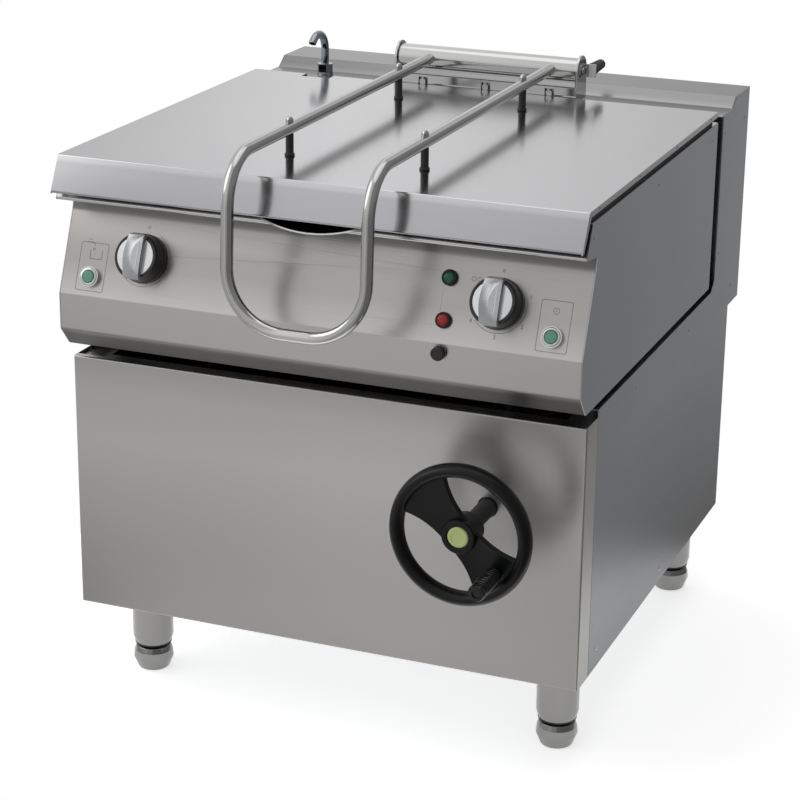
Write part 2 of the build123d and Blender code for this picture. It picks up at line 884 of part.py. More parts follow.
def screw_guard():
    """Tube under the shelf that covers the lowered screw."""
    top = housing_bottom - shelf_plate
    r = jack_screw_diameter / 2 + guard_gap
    end = (jack_x, screw_y, top)
    guard = pipe((jack_x, screw_y, screw_low - hem), end, r, r - guard_wall)
    return guard + pipe((jack_x, screw_y, top - shelf_gusset), end, r + guard_flange, r - guard_wall)


# Handwheel with its spindle, sleeve, cap and turning grip
wheel_y = -wheel_offset
grip_x = jack_x + grip_radius * math.cos(math.radians(grip_angle))
grip_z = spindle_z + grip_radius * math.sin(math.radians(grip_angle))


def crank_spindle():
    return rod((jack_x, wheel_y, spindle_z), (jack_x, housing_front + spindle_depth - collar_gap, spindle_z),
               spindle_diameter / 2)


def spindle_sleeve():
    return pipe((jack_x, wheel_y + hub_back, spindle_z), (jack_x, sleeve_inside, spindle_z), sleeve_diameter / 2,
                spindle_diameter / 2)


def handwheel():
    """Moulded wheel: oval rim, one broad web across it and a deep hub."""
    middle = wheel_diameter / 2 - rim_width / 2
    rim_plane = Plane(origin=(jack_x, wheel_y, spindle_z), x_dir=(1, 0, 0), z_dir=(0, 0, 1))
    section = rim_plane * Pos(middle, 0) * Ellipse(rim_width / 2, rim_depth / 2)
    rim = revolve(section, axis=Axis((jack_x, wheel_y, spindle_z), (0, 1, 0)))
    upper = Spline((-middle, web_shoulder), (-middle / 2, web_waist + web_waist / 5), (0, web_waist),
                   (middle / 2, web_waist + web_waist / 5), (middle, web_shoulder))
    lower = mirror(upper, about=Plane.XZ)
    ends = [Line((x, web_shoulder), (x, -web_shoulder)) for x in (-middle, middle)]
    outline = Face(Wire([upper.edge(), lower.edge(), *[end.edge() for end in ends]]))
    web_plane = Plane(origin=(jack_x, wheel_y, spindle_z), x_dir=(1, 0, 0), z_dir=(0, -1, 0))
    web = extrude(web_plane * Rot(0, 0, web_angle) * outline, amount=web_thickness / 2, both=True)
    web_end = middle - web_inset
    web &= rod((jack_x, wheel_y - rim_depth, spindle_z), (jack_x, wheel_y + rim_depth, spindle_z), web_end)
    hub_face = wheel_y - hub_front
    hub_end = (jack_x, wheel_y + hub_back, spindle_z)
    hub = rod((jack_x, hub_face, spindle_z), hub_end, hub_diameter / 2)
    hub -= rod((jack_x, hub_face, spindle_z), (jack_x, hub_face + cap_depth, spindle_z), cap_diameter / 2)
    wheel = rim + web + hub
    wheel -= rod((jack_x, wheel_y, spindle_z), hub_end, spindle_diameter / 2)
    return wheel - rod((grip_x, wheel_y - hub_front, grip_z), (grip_x, wheel_y + hub_front, grip_z), grip_bolt / 2)


def wheel_cap():
    back = wheel_y - hub_front + cap_depth
    return rod((jack_x, back - cap_depth, spindle_z), (jack_x, back, spindle_z), cap_diameter / 2)


grip_back = wheel_y - web_thickness / 2 - grip_gap


def grip_bolt_shape():
    nut_face = wheel_y + web_thickness / 2
    bolt = rod((grip_x, grip_front + grip_bolt, grip_z), (grip_x, nut_face, grip_z), grip_bolt / 2)
    return bolt + hexagon_bar((grip_x, nut_face, grip_z), (grip_x, nut_face + shelf_lap, grip_z), 2 * grip_bolt)


def wheel_grip():
    """Waisted handle that turns on its bolt."""
    thick_y = grip_front + grip_length / 3
    grip = rod((grip_x, grip_front, grip_z), (grip_x, thick_y, grip_z), grip_nose / 2, grip_diameter / 2)
    grip += rod((grip_x, thick_y, grip_z), (grip_x, grip_back, grip_z), grip_diameter / 2, grip_tail / 2)
    bore_start = grip_front + grip_bolt - grip_gap
    return grip - rod((grip_x, bore_start, grip_z), (grip_x, grip_back, grip_z), grip_bolt / 2 + running_fit)


# Lid: folded shell with its slanted apron, dished inner sheet and rubber seal
def lid_shell():
    line = [
        (lid_rear, lid_top - lid_flange), (lid_rear, lid_top), (lid_front, lid_top), (apron_y, apron_z),
        (apron_y + apron_hem, apron_z)]
    shell = folded_sheet(line, sheet, -lid_half_width, lid_half_width)
    inner = lid_half_width - sheet
    for side in (-1, 1):
        x0, x1 = sorted((side * lid_half_width, side * inner))
        edge = [(lid_rear, lid_top - lid_flange), (lid_rear, lid_top), (lid_front, lid_top), (apron_y, apron_z),
                (apron_y + apron_strip, apron_z), (lid_front + apron_strip, lid_top - lid_flange)]
        strip = prism(edge, x0, x1)
        strip = fillet(strip.edges().filter_by(Axis.X).sort_by(Axis.Z)[-2:], bend + sheet)
        shell += strip
    y0 = lid_rear - notch_depth
    return shell - block(notch_left, notch_left + notch_width, y0, lid_rear + hem, lid_top - hem, lid_top + hem)


seal_half = lid_half_width - sheet - seal_inset
seal_rear = lid_rear - notch_depth - seal_inset
seal_low = deck_height + rest_gap
seal_high = lid_top - sheet


def seal_block(grow, low, high):
    return block(-seal_half - grow, seal_half + grow, seal_front - grow, seal_rear + grow, low, high)


def lid_seal():
    return seal_block(0, seal_low, seal_high) - seal_block(-seal_width, seal_low, seal_high)


def lid_liner():
    low = seal_low + seal_stand
    inset = seal_width + sheet
    return seal_block(-seal_width, low, seal_high) - seal_block(-inset, low + sheet, seal_high)


# Lid hinge: bracket with round-topped cheeks, shaft, springs, buffer and the turning tube
hinge_x0 = hinge_centre_x - hinge_span / 2
hinge_x1 = hinge_centre_x + hinge_span / 2
bracket_floor = ledge_height + bracket_floor_gap
bracket_rear = hinge_y + cheek_radius
clamp_front = hinge_y - cheek_radius
bolt_z = bracket_floor + window_sill + window_height / 2
bolt_places = [bolt_centre_x + i * bolt_pitch for i in (-1, 0, 1)]
tube_x0 = hinge_x0 + hinge_plate + hinge_side_gap
tube_x1 = hinge_x1 - hinge_plate - hinge_side_gap
stop_x = hinge_x1 + stop_radius
stop_y = hinge_y + stop_offset


def on_hinge(x0, x1, radius):
    return rod((x0, hinge_y, hinge_z), (x1, hinge_y, hinge_z), radius)


def hinge_bracket():
    leg_top = lid_top - lid_flange - collar_gap
    bracket = block(hinge_x0, hinge_x1, body_rear, body_rear + bracket_leg, bracket_leg_bottom, leg_top)
    floor_front = body_rear + bracket_leg - seal_inset
    bracket += block(hinge_x0, hinge_x1, floor_front, bracket_rear, bracket_floor, bracket_floor + bracket_sheet)
    front = block(hinge_x0, hinge_x1, clamp_front - bracket_sheet, clamp_front, bracket_floor, bracket_top)
    half = window_width / 2
    sill = bracket_floor + window_sill
    for x in bolt_places:
        front -= block(x - half, x + half, clamp_front - bracket_sheet, clamp_front, sill, sill + window_height)
    bracket += front
    for x0 in (hinge_x0, hinge_x1 - hinge_plate):
        cheek = block(x0, x0 + hinge_plate, clamp_front, bracket_rear, bracket_floor, hinge_z)
        bracket += cheek + on_hinge(x0, x0 + hinge_plate, cheek_radius)
    lug_z = (hinge_z - stop_radius, hinge_z + stop_radius)
    bracket += block(hinge_x1, stop_x + stop_radius, stop_y - bracket_sheet, stop_y, *lug_z)
    return bracket - on_hinge(hinge_x0, hinge_x1, hinge_shaft_diameter / 2)


def bracket_bolts():
    """Three bolts in the windows and the clamp bar behind them."""
    bar_front = clamp_front + bracket_leg
    bar_back = bar_front + clamp_bar
    z0 = bracket_floor + bracket_sheet
    bar = block(hinge_x0 + hinge_plate, hinge_x1 - hinge_plate, bar_front, bar_back, z0, z0 + 2 * (bolt_z - z0))
    pieces = []
    for x in bolt_places:
        bar -= rod((x, bar_front, bolt_z), (x, bar_back, bolt_z), bolt_diameter / 2)
        head = hexagon_bar((x, clamp_front - 2 * bracket_sheet, bolt_z), (x, bar_front, bolt_z), bolt_flats)
        pieces.append(head + rod((x, bar_front, bolt_z), (x, bar_back + bracket_sheet, bolt_z), bolt_diameter / 2))
    return [bar, *pieces]


def hinge_shaft():
    shaft = on_hinge(hinge_x0, hinge_x1, hinge_shaft_diameter / 2)
    for x, side in ((hinge_x0, -1), (hinge_x1, 1)):
        end = (x + side * bracket_leg, hinge_y, hinge_z)
        shaft += hexagon_bar((x, hinge_y, hinge_z), end, hinge_shaft_diameter - bracket_sheet)
    return shaft


def lid_stop():
    back = (stop_x, stop_y + stop_length, hinge_z)
    return rod((stop_x, stop_y, hinge_z), back, stop_radius, stop_radius - stop_taper)


def hinge_tube():
    outer = hinge_tube_diameter / 2
    return pipe((tube_x0, hinge_y, hinge_z), (tube_x1, hinge_y, hinge_z), outer, outer - hinge_tube_wall)


def hinge_bushes():
    outer = hinge_tube_diameter / 2 - hinge_tube_wall
    bore = hinge_shaft_diameter / 2 + running_fit
    return [pipe((x, hinge_y, hinge_z), (x + hinge_bush_length, hinge_y, hinge_z), outer, bore)
            for x in (tube_x0, tube_x1 - hinge_bush_length)]


def lid_spring(x0):
    """Torsion spring round the hinge shaft, beside its bush."""
    helix = Helix(spring_length / spring_turns, spring_length, spring_coil)
    coil = sweep(Plane(origin=helix @ 0, z_dir=helix % 0) * Circle(spring_wire / 2), path=helix)
    return Plane(origin=(x0, hinge_y, hinge_z), z_dir=(1, 0, 0)) * coil


def lid_springs():
    inset = hinge_bush_length + spring_play + spring_wire / 2
    return [lid_spring(tube_x0 + inset), lid_spring(tube_x1 - inset - spring_length)]


# Lid handle: one bent tube on four posts with domed nuts
arm_places = [arm_centre_x - arm_spacing / 2, arm_centre_x + arm_spacing / 2]
post_places = [(x, y) for x in arm_places for y in (post_front_y, post_rear_y)]


def lid_handle():
    left, right = arm_places
    back = hinge_y - hinge_tube_diameter / 4
    bend_y = handle_front_y + handle_lean
    route = [
        (left, back, arm_z), (left, bend_y, arm_z), (left, handle_front_y, handle_bottom_z),
        (right, handle_front_y, handle_bottom_z), (right, bend_y, arm_z), (right, back, arm_z)]
    radii = [handle_bend, handle_corner, handle_corner, handle_bend]
    bar = bent_bar(route, radii, arm_diameter / 2, arm_diameter / 2 - arm_wall)
    return bar - on_hinge(hinge_x0, hinge_x1, hinge_tube_diameter / 2)


def arm_saddle(x, y):
    """Space that the tube takes up over a post."""
    return rod((x, y - tube_side / 2, arm_z), (x, y + tube_side / 2, arm_z), arm_diameter / 2)


def arm_posts():
    return [rod((x, y, lid_top), (x, y, arm_z), post_diameter / 2) - arm_saddle(x, y) for x, y in post_places]


def acorn_nuts():
    nuts = []
    for x, y in post_places:
        low = arm_z + arm_diameter / 2 - sheet
        shoulder = low + acorn_height
        dome = acorn_flats / 2 - sheet / 2
        nut = hexagon_bar((x, y, low), (x, y, shoulder), acorn_flats)
        nut += Pos(x, y, shoulder) * Sphere(dome, -90, 90) - block(x - hem, x + hem, y - hem, y + hem, low - hem, low)
        nuts.append(nut - arm_saddle(x, y))
    return nuts


# Knobs, buttons, lamps and the blocks behind them
def upright(radius, height, low=0.0):
    return Pos(0, 0, low) * Cylinder(radius, height, align=standing)


def knob_skirt(x):
    """Black skirt with a socket for the spindle."""
    r = knob_diameter / 2
    profile = Polyline((0, 0), (r, 0), (r, skirt_rim), (r - skirt_taper, skirt_height), (0, skirt_height), (0, 0))
    skirt = revolve(Plane.XZ * make_face(profile.edges()), axis=Axis.Z)
    return slant_plane(x, knob_down, knob_gap).location * (skirt - upright(knob_spindle / 2, skirt_height / 2))


def knob_cap(x):
    """Silver cap with the raised finger bar across it, scooped on both sides."""
    r = knob_diameter / 2 - cap_inset
    bar_height = knob_height - skirt_height
    bar = upright(r, bar_height)
    for side in (-1, 1):
        bar -= Pos(side * (finger_scoop + finger_bar / 2), 0, cap_height) * upright(finger_scoop, bar_height)
    return slant_plane(x, knob_down, knob_gap + skirt_height).location * bar


def knob_shaft(x):
    end = on_slant(x, knob_down, knob_gap + skirt_height / 2)
    return rod(on_slant(x, knob_down, -sheet - skirt_rim), end, knob_spindle / 2)


def switch_body(x, side, depth):
    body = Pos(0, 0, -depth) * Box(side, side, depth, align=standing)
    body -= upright(knob_spindle / 2 + barrel_play, skirt_rim + sheet, -skirt_rim - sheet)
    return slant_plane(x, knob_down, -sheet).location * body


def button_ring(x):
    """Metal ring with its barrel and contact block."""
    ring_shape = upright(ring_diameter / 2, ring_height)
    barrel = upright(switch_hole / 2 - barrel_play, barrel_depth, -barrel_depth)
    bore = upright(button_diameter / 2 + 1, ring_height + hem, -hem)
    return slant_plane(x, button_down).location * (ring_shape + barrel - bore)


def button_cap(x):
    cap = upright(button_diameter / 2, button_sink + button_proud, -button_sink)
    cap = fillet(cap.faces().sort_by(Axis.Z)[-1].edges(), sheet)
    return slant_plane(x, button_down).location * cap


def lamp(down):
    """Black bezel and barrel with a clear-coloured lens."""
    seat = tube_wall
    body = upright(lamp_ring / 2, 5) + upright(lamp_hole / 2 - barrel_play, lamp_depth, -lamp_depth)
    body -= upright(lamp_lens / 2, hem, seat)
    lens = upright(lamp_lens / 2, 5, seat)
    lens = fillet(lens.faces().sort_by(Axis.Z)[-1].edges(), sheet)
    place = slant_plane(lamp_x, down).location
    return [place * body, place * lens]


def along_reset(y0, y1, radius):
    return rod((reset_x, band_front + y0, reset_z), (reset_x, band_front + y1, reset_z), radius)


def reset_neck():
    """Neck of the safety thermostat through the band, with its black ring."""
    neck = along_reset(-reset_ring, barrel_depth, lamp_hole / 2 - barrel_play)
    neck += along_reset(-reset_ring, 0, lamp_ring / 2)
    return neck - along_reset(-reset_ring, barrel_depth, reset_stem / 2 + barrel_play)


def reset_button():
    front = -reset_ring - reset_travel - rest_gap
    return along_reset(front - reset_travel, front, lamp_ring / 2 - 1) + along_reset(front, hem, reset_stem / 2)


# Tap on the ledge, with its valve and pipes in the column
def at_tap(z0, z1, radius):
    return rod((tap_x, tap_y, z0), (tap_x, tap_y, z1), radius)


def tap_base():
    """Flange, hexagon nut, threaded neck and the lock nut under the ledge."""
    low = ledge_height - tap_neck_depth
    top = ledge_height + tap_nut_top
    base = at_tap(ledge_height, ledge_height + tap_flange_height, tap_flange_diameter / 2)
    base += hexagon_bar((tap_x, tap_y, ledge_height + tap_flange_height), (tap_x, tap_y, top), tap_flats)
    base += at_tap(low, ledge_height, tap_neck)
    lock_top = ledge_height - sheet
    base += hexagon_bar((tap_x, tap_y, lock_top - nut_height), (tap_x, tap_y, lock_top), tap_flange_diameter)
    seat = ledge_height - tap_seat
    return base - at_tap(seat, top, tap_pipe / 2 + running_fit) - at_tap(low, seat, tap_pipe / 2 - tap_wall)


def tap_spout():
    """Swan neck that turns in the nut; its open mouth points forward and down."""
    centre_y = tap_y - tap_bend
    centre_z = tap_top - tap_pipe / 2 - tap_bend

    def on_bend(degrees):
        angle = math.radians(degrees)
        return (tap_x, centre_y + tap_bend * math.cos(angle), centre_z + tap_bend * math.sin(angle))

    rise = Line((tap_x, tap_y, ledge_height - tap_seat + rest_gap), on_bend(0))
    route = rise + ThreePointArc(on_bend(0), on_bend(tap_turn / 2), on_bend(tap_turn))
    plane = Plane(origin=rise @ 0, z_dir=rise % 0)
    section = plane * Circle(tap_pipe / 2) - plane * Circle(tap_pipe / 2 - tap_wall)
    return sweep(section, path=route)


def water_valve():
    """Solenoid valve: brass body with its coil behind."""
    half = valve_side / 2
    body = block(tap_x - half, tap_x + half, tap_y - half, tap_y + half, valve_z, valve_z + valve_height)
    z = valve_z + valve_height / 2
    return body + rod((tap_x, tap_y + half, z), (tap_x, tap_y + half + coil_length, z), coil_radius)


def valve_bracket():
    """Angle that holds the valve on the left column post."""
    half = valve_side / 2
    y0, y1 = corner_y[1] + tube_wall, frame_rear - tube_wall
    z1 = valve_z - shelf_gusset
    arm = block(corner_x[0] + tube_side, tap_x + half, y0, y1, z1 - tube_side / 2, z1)
    arm += block(tap_x - half, tap_x + half, tap_y - half, y1, z1, valve_z)
    return arm - at_tap(z1, valve_z, pipe_radius + 1)


def riser_pipe():
    return at_tap(valve_z + valve_height, ledge_height - tap_neck_depth, pipe_radius)


def supply_pipe():
    route = [
        (inlet_x, frame_rear, inlet_z), (inlet_x, tap_y, inlet_z), (tap_x, tap_y, inlet_z), (tap_x, tap_y, valve_z)]
    return bent_bar(route, [pipe_bend, pipe_bend], pipe_radius)


def from_back(x, z, y0, y1, radius):
    return rod((x, cabinet_depth + y0, z), (x, cabinet_depth + y1, z), radius)


def hexagon_on_back(x, z, y0, y1, across_flats):
    return hexagon_bar((x, cabinet_depth + y0, z), (x, cabinet_depth + y1, z), across_flats)


def water_inlet():
    """Three-quarter inch hose union on the back panel."""
    union = from_back(inlet_x, inlet_z, 0, inlet_length, inlet_radius)
    union += hexagon_on_back(inlet_x, inlet_z, 0, nut_height, inlet_flats)
    return union - from_back(inlet_x, inlet_z, shelf_gusset, inlet_length, inlet_bore)


# Electrical parts: gland, bonding stud, terminal box and contactors
def cable_gland():
    gland = hexagon_on_back(gland_x, gland_z, 0, nut_height, gland_flats)
    gland += from_back(gland_x, gland_z, nut_height, gland_length, gland_radius)
    return gland - from_back(gland_x, gland_z, 0, gland_length, cable_radius)


def bonding_stud():
    stud = from_back(bond_x, bond_z, 0, bond_length, bond_radius)
    stud += from_back(bond_x, bond_z, 0, tube_wall, 3 * bond_radius)
    return stud + hexagon_on_back(bond_x, bond_z, tube_wall, tube_wall + shelf_gusset, bolt_flats)


def terminal_box():
    half = terminal_side / 2
    y0 = frame_rear - terminal_depth
    return block(terminal_x - half, terminal_x + half, y0, frame_rear, gland_z - half, gland_z + half)


def contactors():
    """Mounting rail with the contactors side by side."""
    length = contactor_count * contactor_pitch + tube_side / 2
    back = frame_rear - din_rail
    rail = block(-length / 2, length / 2, back, frame_rear, gland_z - din_rail * 2, gland_z + din_rail * 2)
    for i in range(contactor_count):
        x0 = (i - contactor_count / 2) * contactor_pitch + (contactor_pitch - contactor_width) / 2
        z0 = gland_z - contactor_height / 2
        rail += block(x0, x0 + contactor_width, back - contactor_depth, back, z0, z0 + contactor_height)
    return rail


save("front_panel", front_panel())
right_panel = side_panel()
save("side_panel_right", right_panel)
save("side_panel_left", mirror(right_panel, about=Plane.YZ))
save("column_casing", column_casing())
save("rear_covers", back_panel(), column_back())
save("base_frame", ring(frame_bottom), floor_tray(), *leg_plates())
save("upper_frame", ring(top_rail_bottom), *posts(), *column_posts(), rest_beam())
save("legs", *[leg_tube(x, y) for x, y in leg_places])
save("feet", *[foot(x, y) for x, y in leg_places])
save("rest_buffers", *rest_buffers())
right_wall = body_side()
save("body_side_right", right_wall)
save("body_side_left", mirror(right_wall, about=Plane.YZ))
save("fascia", fascia())
save("body_rear_wall", rear_wall())
save("under_cover", under_cover())
save("body_rails", *both_sides(body_rail()))
save("pan_well", pan_well())
save("pan_deck", pan_deck())
save("pan_base_plate", pan_base())
save("heating_elements", *heating_elements())
save("element_tray", element_tray())
save("insulation", bottom_wool(), *both_sides(side_wool()))
save("tilt_axle", torque_tube(), *both_sides(axle_cheek()), *both_sides(journal_collar()))
save("hook_brackets", *both_sides(hook_bracket()))
save("trunnion_bushes", *both_sides(journal_bush()))
save("tilt_lever", *tilt_lever())
save("jack_screw", jack_screw())
save("jack_housing", jack_housing())
save("jack_shelf", jack_shelf(), screw_guard())
save("crank_spindle", crank_spindle())
save("spindle_sleeve", spindle_sleeve())
save("handwheel", handwheel())
save("wheel_cap", wheel_cap())
save("grip_bolt", grip_bolt_shape())
save("wheel_grip", wheel_grip())
for side_name, knob_place in (("right", knob_x), ("left", -knob_x)):
    save(f"knob_{side_name}", knob_skirt(knob_place), knob_cap(knob_place), knob_shaft(knob_place))
save("switch_bodies", switch_body(knob_x, switch_side, switch_depth),
     switch_body(-knob_x, thermostat_side, thermostat_depth))
save("button_rings", button_ring(button_x), button_ring(-button_x), reset_neck())
save("button_right", button_cap(button_x))
save("button_left", button_cap(-button_x))
save("reset_button", reset_button())
save("lamps", *lamp(lamp_green_down), *lamp(lamp_red_down))
save("lid_shell", lid_shell())
save("lid_liner", lid_liner())
save("lid_seal", lid_seal())
save("hinge_bracket", hinge_bracket())
save("bracket_bolts", *bracket_bolts())
save("hinge_shaft", hinge_shaft())
save("lid_springs", *lid_springs())
save("lid_stop", lid_stop())
save("hinge_tube", hinge_tube(), *hinge_bushes())
save("lid_handle", lid_handle())
save("arm_posts", *arm_posts(), *acorn_nuts())
save("tap_base", tap_base())
save("tap_spout", tap_spout())
save("water_valve", water_valve(), valve_bracket())
save("water_pipes", riser_pipe(), supply_pipe())
save("rear_connections", water_inlet(), bonding_stud(), cable_gland())
save("electrics", terminal_box(), contactors())
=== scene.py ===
import math

import bmesh
import bpy
from mathutils import Matrix, Vector


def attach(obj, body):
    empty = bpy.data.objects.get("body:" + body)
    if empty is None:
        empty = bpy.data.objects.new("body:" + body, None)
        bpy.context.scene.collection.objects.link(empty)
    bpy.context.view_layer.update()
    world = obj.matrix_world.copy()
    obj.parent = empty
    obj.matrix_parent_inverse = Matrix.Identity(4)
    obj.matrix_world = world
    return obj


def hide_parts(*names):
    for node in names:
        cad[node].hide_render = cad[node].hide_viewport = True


# Tilting bratt pan, the looks around its packed construction. Lengths are in metres and in the
# row frame: x to the operator's right, y to the rear, z up, with the floor at z = 0.
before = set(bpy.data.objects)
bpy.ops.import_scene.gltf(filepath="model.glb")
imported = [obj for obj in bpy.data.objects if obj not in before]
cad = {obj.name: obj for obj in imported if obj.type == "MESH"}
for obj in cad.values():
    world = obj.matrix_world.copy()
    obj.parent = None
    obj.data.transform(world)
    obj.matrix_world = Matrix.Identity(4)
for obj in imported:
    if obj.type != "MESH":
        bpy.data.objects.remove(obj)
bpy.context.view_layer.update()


# Legs and feet
# Round stainless tubes, drawn in at the lower end and welded to plates under the frame. Each foot
# is a turned shoe with spanner flats, screwed into the leg; a near-black ring above its collar is painted shade for
# the gap there.

def new_material(name):
    """Empty node material, with its nodes and the call that links them."""
    material = bpy.data.materials.new(name)
    material.use_nodes = True
    return material, material.node_tree.nodes, material.node_tree.links.new


def grained(name, colour, roughness, grain=(1, 40, 40), bump=0.05, spread=0.0, turn=0.0, axis="Z", metallic=1.0,
            painted_shading=None):
    """Metal or plastic with a fine directional grain; spread stretches its highlights across the grain.

    grain says how closely the lines follow each other along x, y and z, in steps of 12 per metre.
    The last argument's (height, factor) pairs are painted light and shade: below 1 they darken the colour at that
    height, above 1 they lighten it.
    """
    material, nodes, link = new_material(name)
    shader = nodes["Principled BSDF"]
    shader.inputs["Metallic"].default_value = metallic
    coords = nodes.new("ShaderNodeTexCoord")
    stretch = nodes.new("ShaderNodeMapping")
    lines_per_metre = [12 * g for g in grain]
    stretch.inputs["Scale"].default_value = lines_per_metre
    link(coords.outputs["Object"], stretch.inputs["Vector"])
    lines = nodes.new("ShaderNodeTexNoise")
    lines.inputs["Scale"].default_value = 1.0
    lines.inputs["Detail"].default_value = 5.0
    link(stretch.outputs["Vector"], lines.inputs["Vector"])
    cloud = nodes.new("ShaderNodeTexNoise")
    cloud.inputs["Scale"].default_value = 2.5
    cloud.inputs["Detail"].default_value = 1.0
    link(coords.outputs["Object"], cloud.inputs["Vector"])
    blotch = nodes.new("ShaderNodeMapRange")
    blotch.inputs["To Min"].default_value = 0.92
    blotch.inputs["To Max"].default_value = 1.06
    link(cloud.outputs["Fac"], blotch.inputs["Value"])
    tint = nodes.new("ShaderNodeMix")
    tint.data_type = "RGBA"
    tint.blend_type = "MULTIPLY"
    tint.inputs[0].default_value = 1.0
    tint.inputs[6].default_value = (*colour, 1)
    link(blotch.outputs["Result"], tint.inputs[7])
    surface_colour = tint.outputs[2]
    # Painted light and shade: the colour is multiplied by a grey ramp over the height.
    if painted_shading:
        height = nodes.new("ShaderNodeSeparateXYZ")
        link(coords.outputs["Object"], height.inputs["Vector"])
        ramp = nodes.new("ShaderNodeValToRGB")
        ramp.color_ramp.elements[0].position, ramp.color_ramp.elements[1].position = painted_shading[0][0], painted_shading[-1][0]
        for spot, factor in painted_shading[1:-1]:
            ramp.color_ramp.elements.new(spot)
        for stop, (spot, factor) in zip(ramp.color_ramp.elements, painted_shading):
            stop.color = (factor, factor, factor, 1)
        link(height.outputs["Z"], ramp.inputs["Fac"])
        painted_shade_mix = nodes.new("ShaderNodeMix")
        painted_shade_mix.data_type = "RGBA"
        painted_shade_mix.blend_type = "MULTIPLY"
        painted_shade_mix.inputs[0].default_value = 1.0
        link(surface_colour, painted_shade_mix.inputs[6])
        link(ramp.outputs["Color"], painted_shade_mix.inputs[7])
        surface_colour = painted_shade_mix.outputs[2]
    link(surface_colour, shader.inputs["Base Color"])
    rough = nodes.new("ShaderNodeMapRange")
    rough.inputs["From Min"].default_value = 0.3
    rough.inputs["From Max"].default_value = 0.7
    rough.inputs["To Min"].default_value = roughness * 0.92
    rough.inputs["To Max"].default_value = roughness * 1.08
    link(lines.outputs["Fac"], rough.inputs["Value"])
    link(rough.outputs["Result"], shader.inputs["Roughness"])
    relief = nodes.new("ShaderNodeBump")
    relief.inputs["Strength"].default_value = bump
    relief.inputs["Distance"].default_value = 0.0004
    link(lines.outputs["Fac"], relief.inputs["Height"])
    link(relief.outputs["Normal"], shader.inputs["Normal"])
    if spread > 0:
        tangent = nodes.new("ShaderNodeTangent")
        tangent.direction_type = "RADIAL"
        tangent.axis = axis
        shader.inputs["Anisotropic"].default_value = spread
        shader.inputs["Anisotropic Rotation"].default_value = turn
        link(tangent.outputs["Tangent"], shader.inputs["Tangent"])
    return material


def dress(material, *names, edge=0.0006):
    """Gives CAD nodes their material and soft, light-catching edges."""
    for name in names:
        node = cad[name]
        node.data.materials.clear()
        node.data.materials.append(material)
        weld = node.modifiers.new("weld", "WELD")
        weld.merge_threshold = 0.00002
        if edge > 0:
            soft = node.modifiers.new("soft_edges", "BEVEL")
            soft.width = edge
            soft.segments = 2
            soft.limit_method = "ANGLE"
            soft.angle_limit = math.radians(40)
            level = node.modifiers.new("level_shading", "WEIGHTED_NORMAL")
            level.keep_sharp = False


def piece(name, mesh, material, body, smooth_below=40.0):
    """Puts a finished mesh into the scene, on its body and with its material."""
    mesh.materials.append(material)
    mesh.polygons.foreach_set("use_smooth", [True] * len(mesh.polygons))
    mesh.set_sharp_from_angle(angle=math.radians(smooth_below))
    item = bpy.data.objects.new(name, mesh)
    bpy.context.scene.collection.objects.link(item)
    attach(item, body)
    return item


def rounded(points, radius, steps=4, closed=False):
    """Line with its inner corners rounded by short arcs; works in two or three dimensions."""
    points = [Vector(p) for p in points]
    line = [] if closed else [points[0]]
    count = len(points)
    for i in range(0 if closed else 1, count if closed else count - 1):
        corner = points[i]
        before = points[i - 1] - corner
        after = points[(i + 1) % count] - corner
        wanted = radius[i] if isinstance(radius, (list, tuple)) else radius
        half = before.angle(after) / 2
        reach = min(wanted / math.tan(half), before.length / 2, after.length / 2)
        start = corner + before.normalized() * reach
        end = corner + after.normalized() * reach
        for k in range(steps + 1):
            t = k / steps
            weight = math.cos(half)
            a, b, c = (1 - t) ** 2, 2 * t * (1 - t) * math.sin(half), t ** 2
            line.append((start * a + corner * b + end * c) / (a + b + c))
    if not closed:
        line.append(points[-1])
    return line


def closed_mesh(name, verts, faces):
    """Mesh whose faces all look outwards."""
    mesh = bpy.data.meshes.new(name)
    mesh.from_pydata(verts, [], faces)
    work = bmesh.new()
    work.from_mesh(mesh)
    bmesh.ops.recalc_face_normals(work, faces=work.faces)
    work.to_mesh(mesh)
    work.free()
    return mesh


def turned(profile, place, steps=64, shape=None):
    """Mesh turned round the place's local z, from (radius, height) pairs; shape(angle) may limit the radius."""
    verts, faces = [], []
    rows = []
    for r, h in profile:
        if r < 1e-7:
            rows.append([len(verts)])
            verts.append(place @ Vector((0, 0, h)))
            continue
        row = []
        for k in range(steps):
            angle = 2 * math.pi * k / steps
            radius = min(r, shape(angle)) if shape else r
            row.append(len(verts))
            verts.append(place @ Vector((radius * math.cos(angle), radius * math.sin(angle), h)))
        rows.append(row)
    for low, high in zip(rows, rows[1:]):
        if len(low) == 1 and len(high) == 1:
            continue
        for k in range(steps):
            n = (k + 1) % steps
            if len(low) == 1:
                faces.append((low[0], high[n], high[k]))
            elif len(high) == 1:
                faces.append((low[k], low[n], high[0]))
            else:
                faces.append((low[k], low[n], high[n], high[k]))
    return closed_mesh("turned", verts, faces)


def flats(across, count):
    """Limit of the radius for a bar with flat sides."""
    def limit(angle):
        step = 2 * math.pi / count
        return across / 2 / math.cos((angle + step / 2) % step - step / 2)
    return limit


def at(x, y, z):
    """Place at a spot, with no turn."""
    return Matrix.Translation((x, y, z))


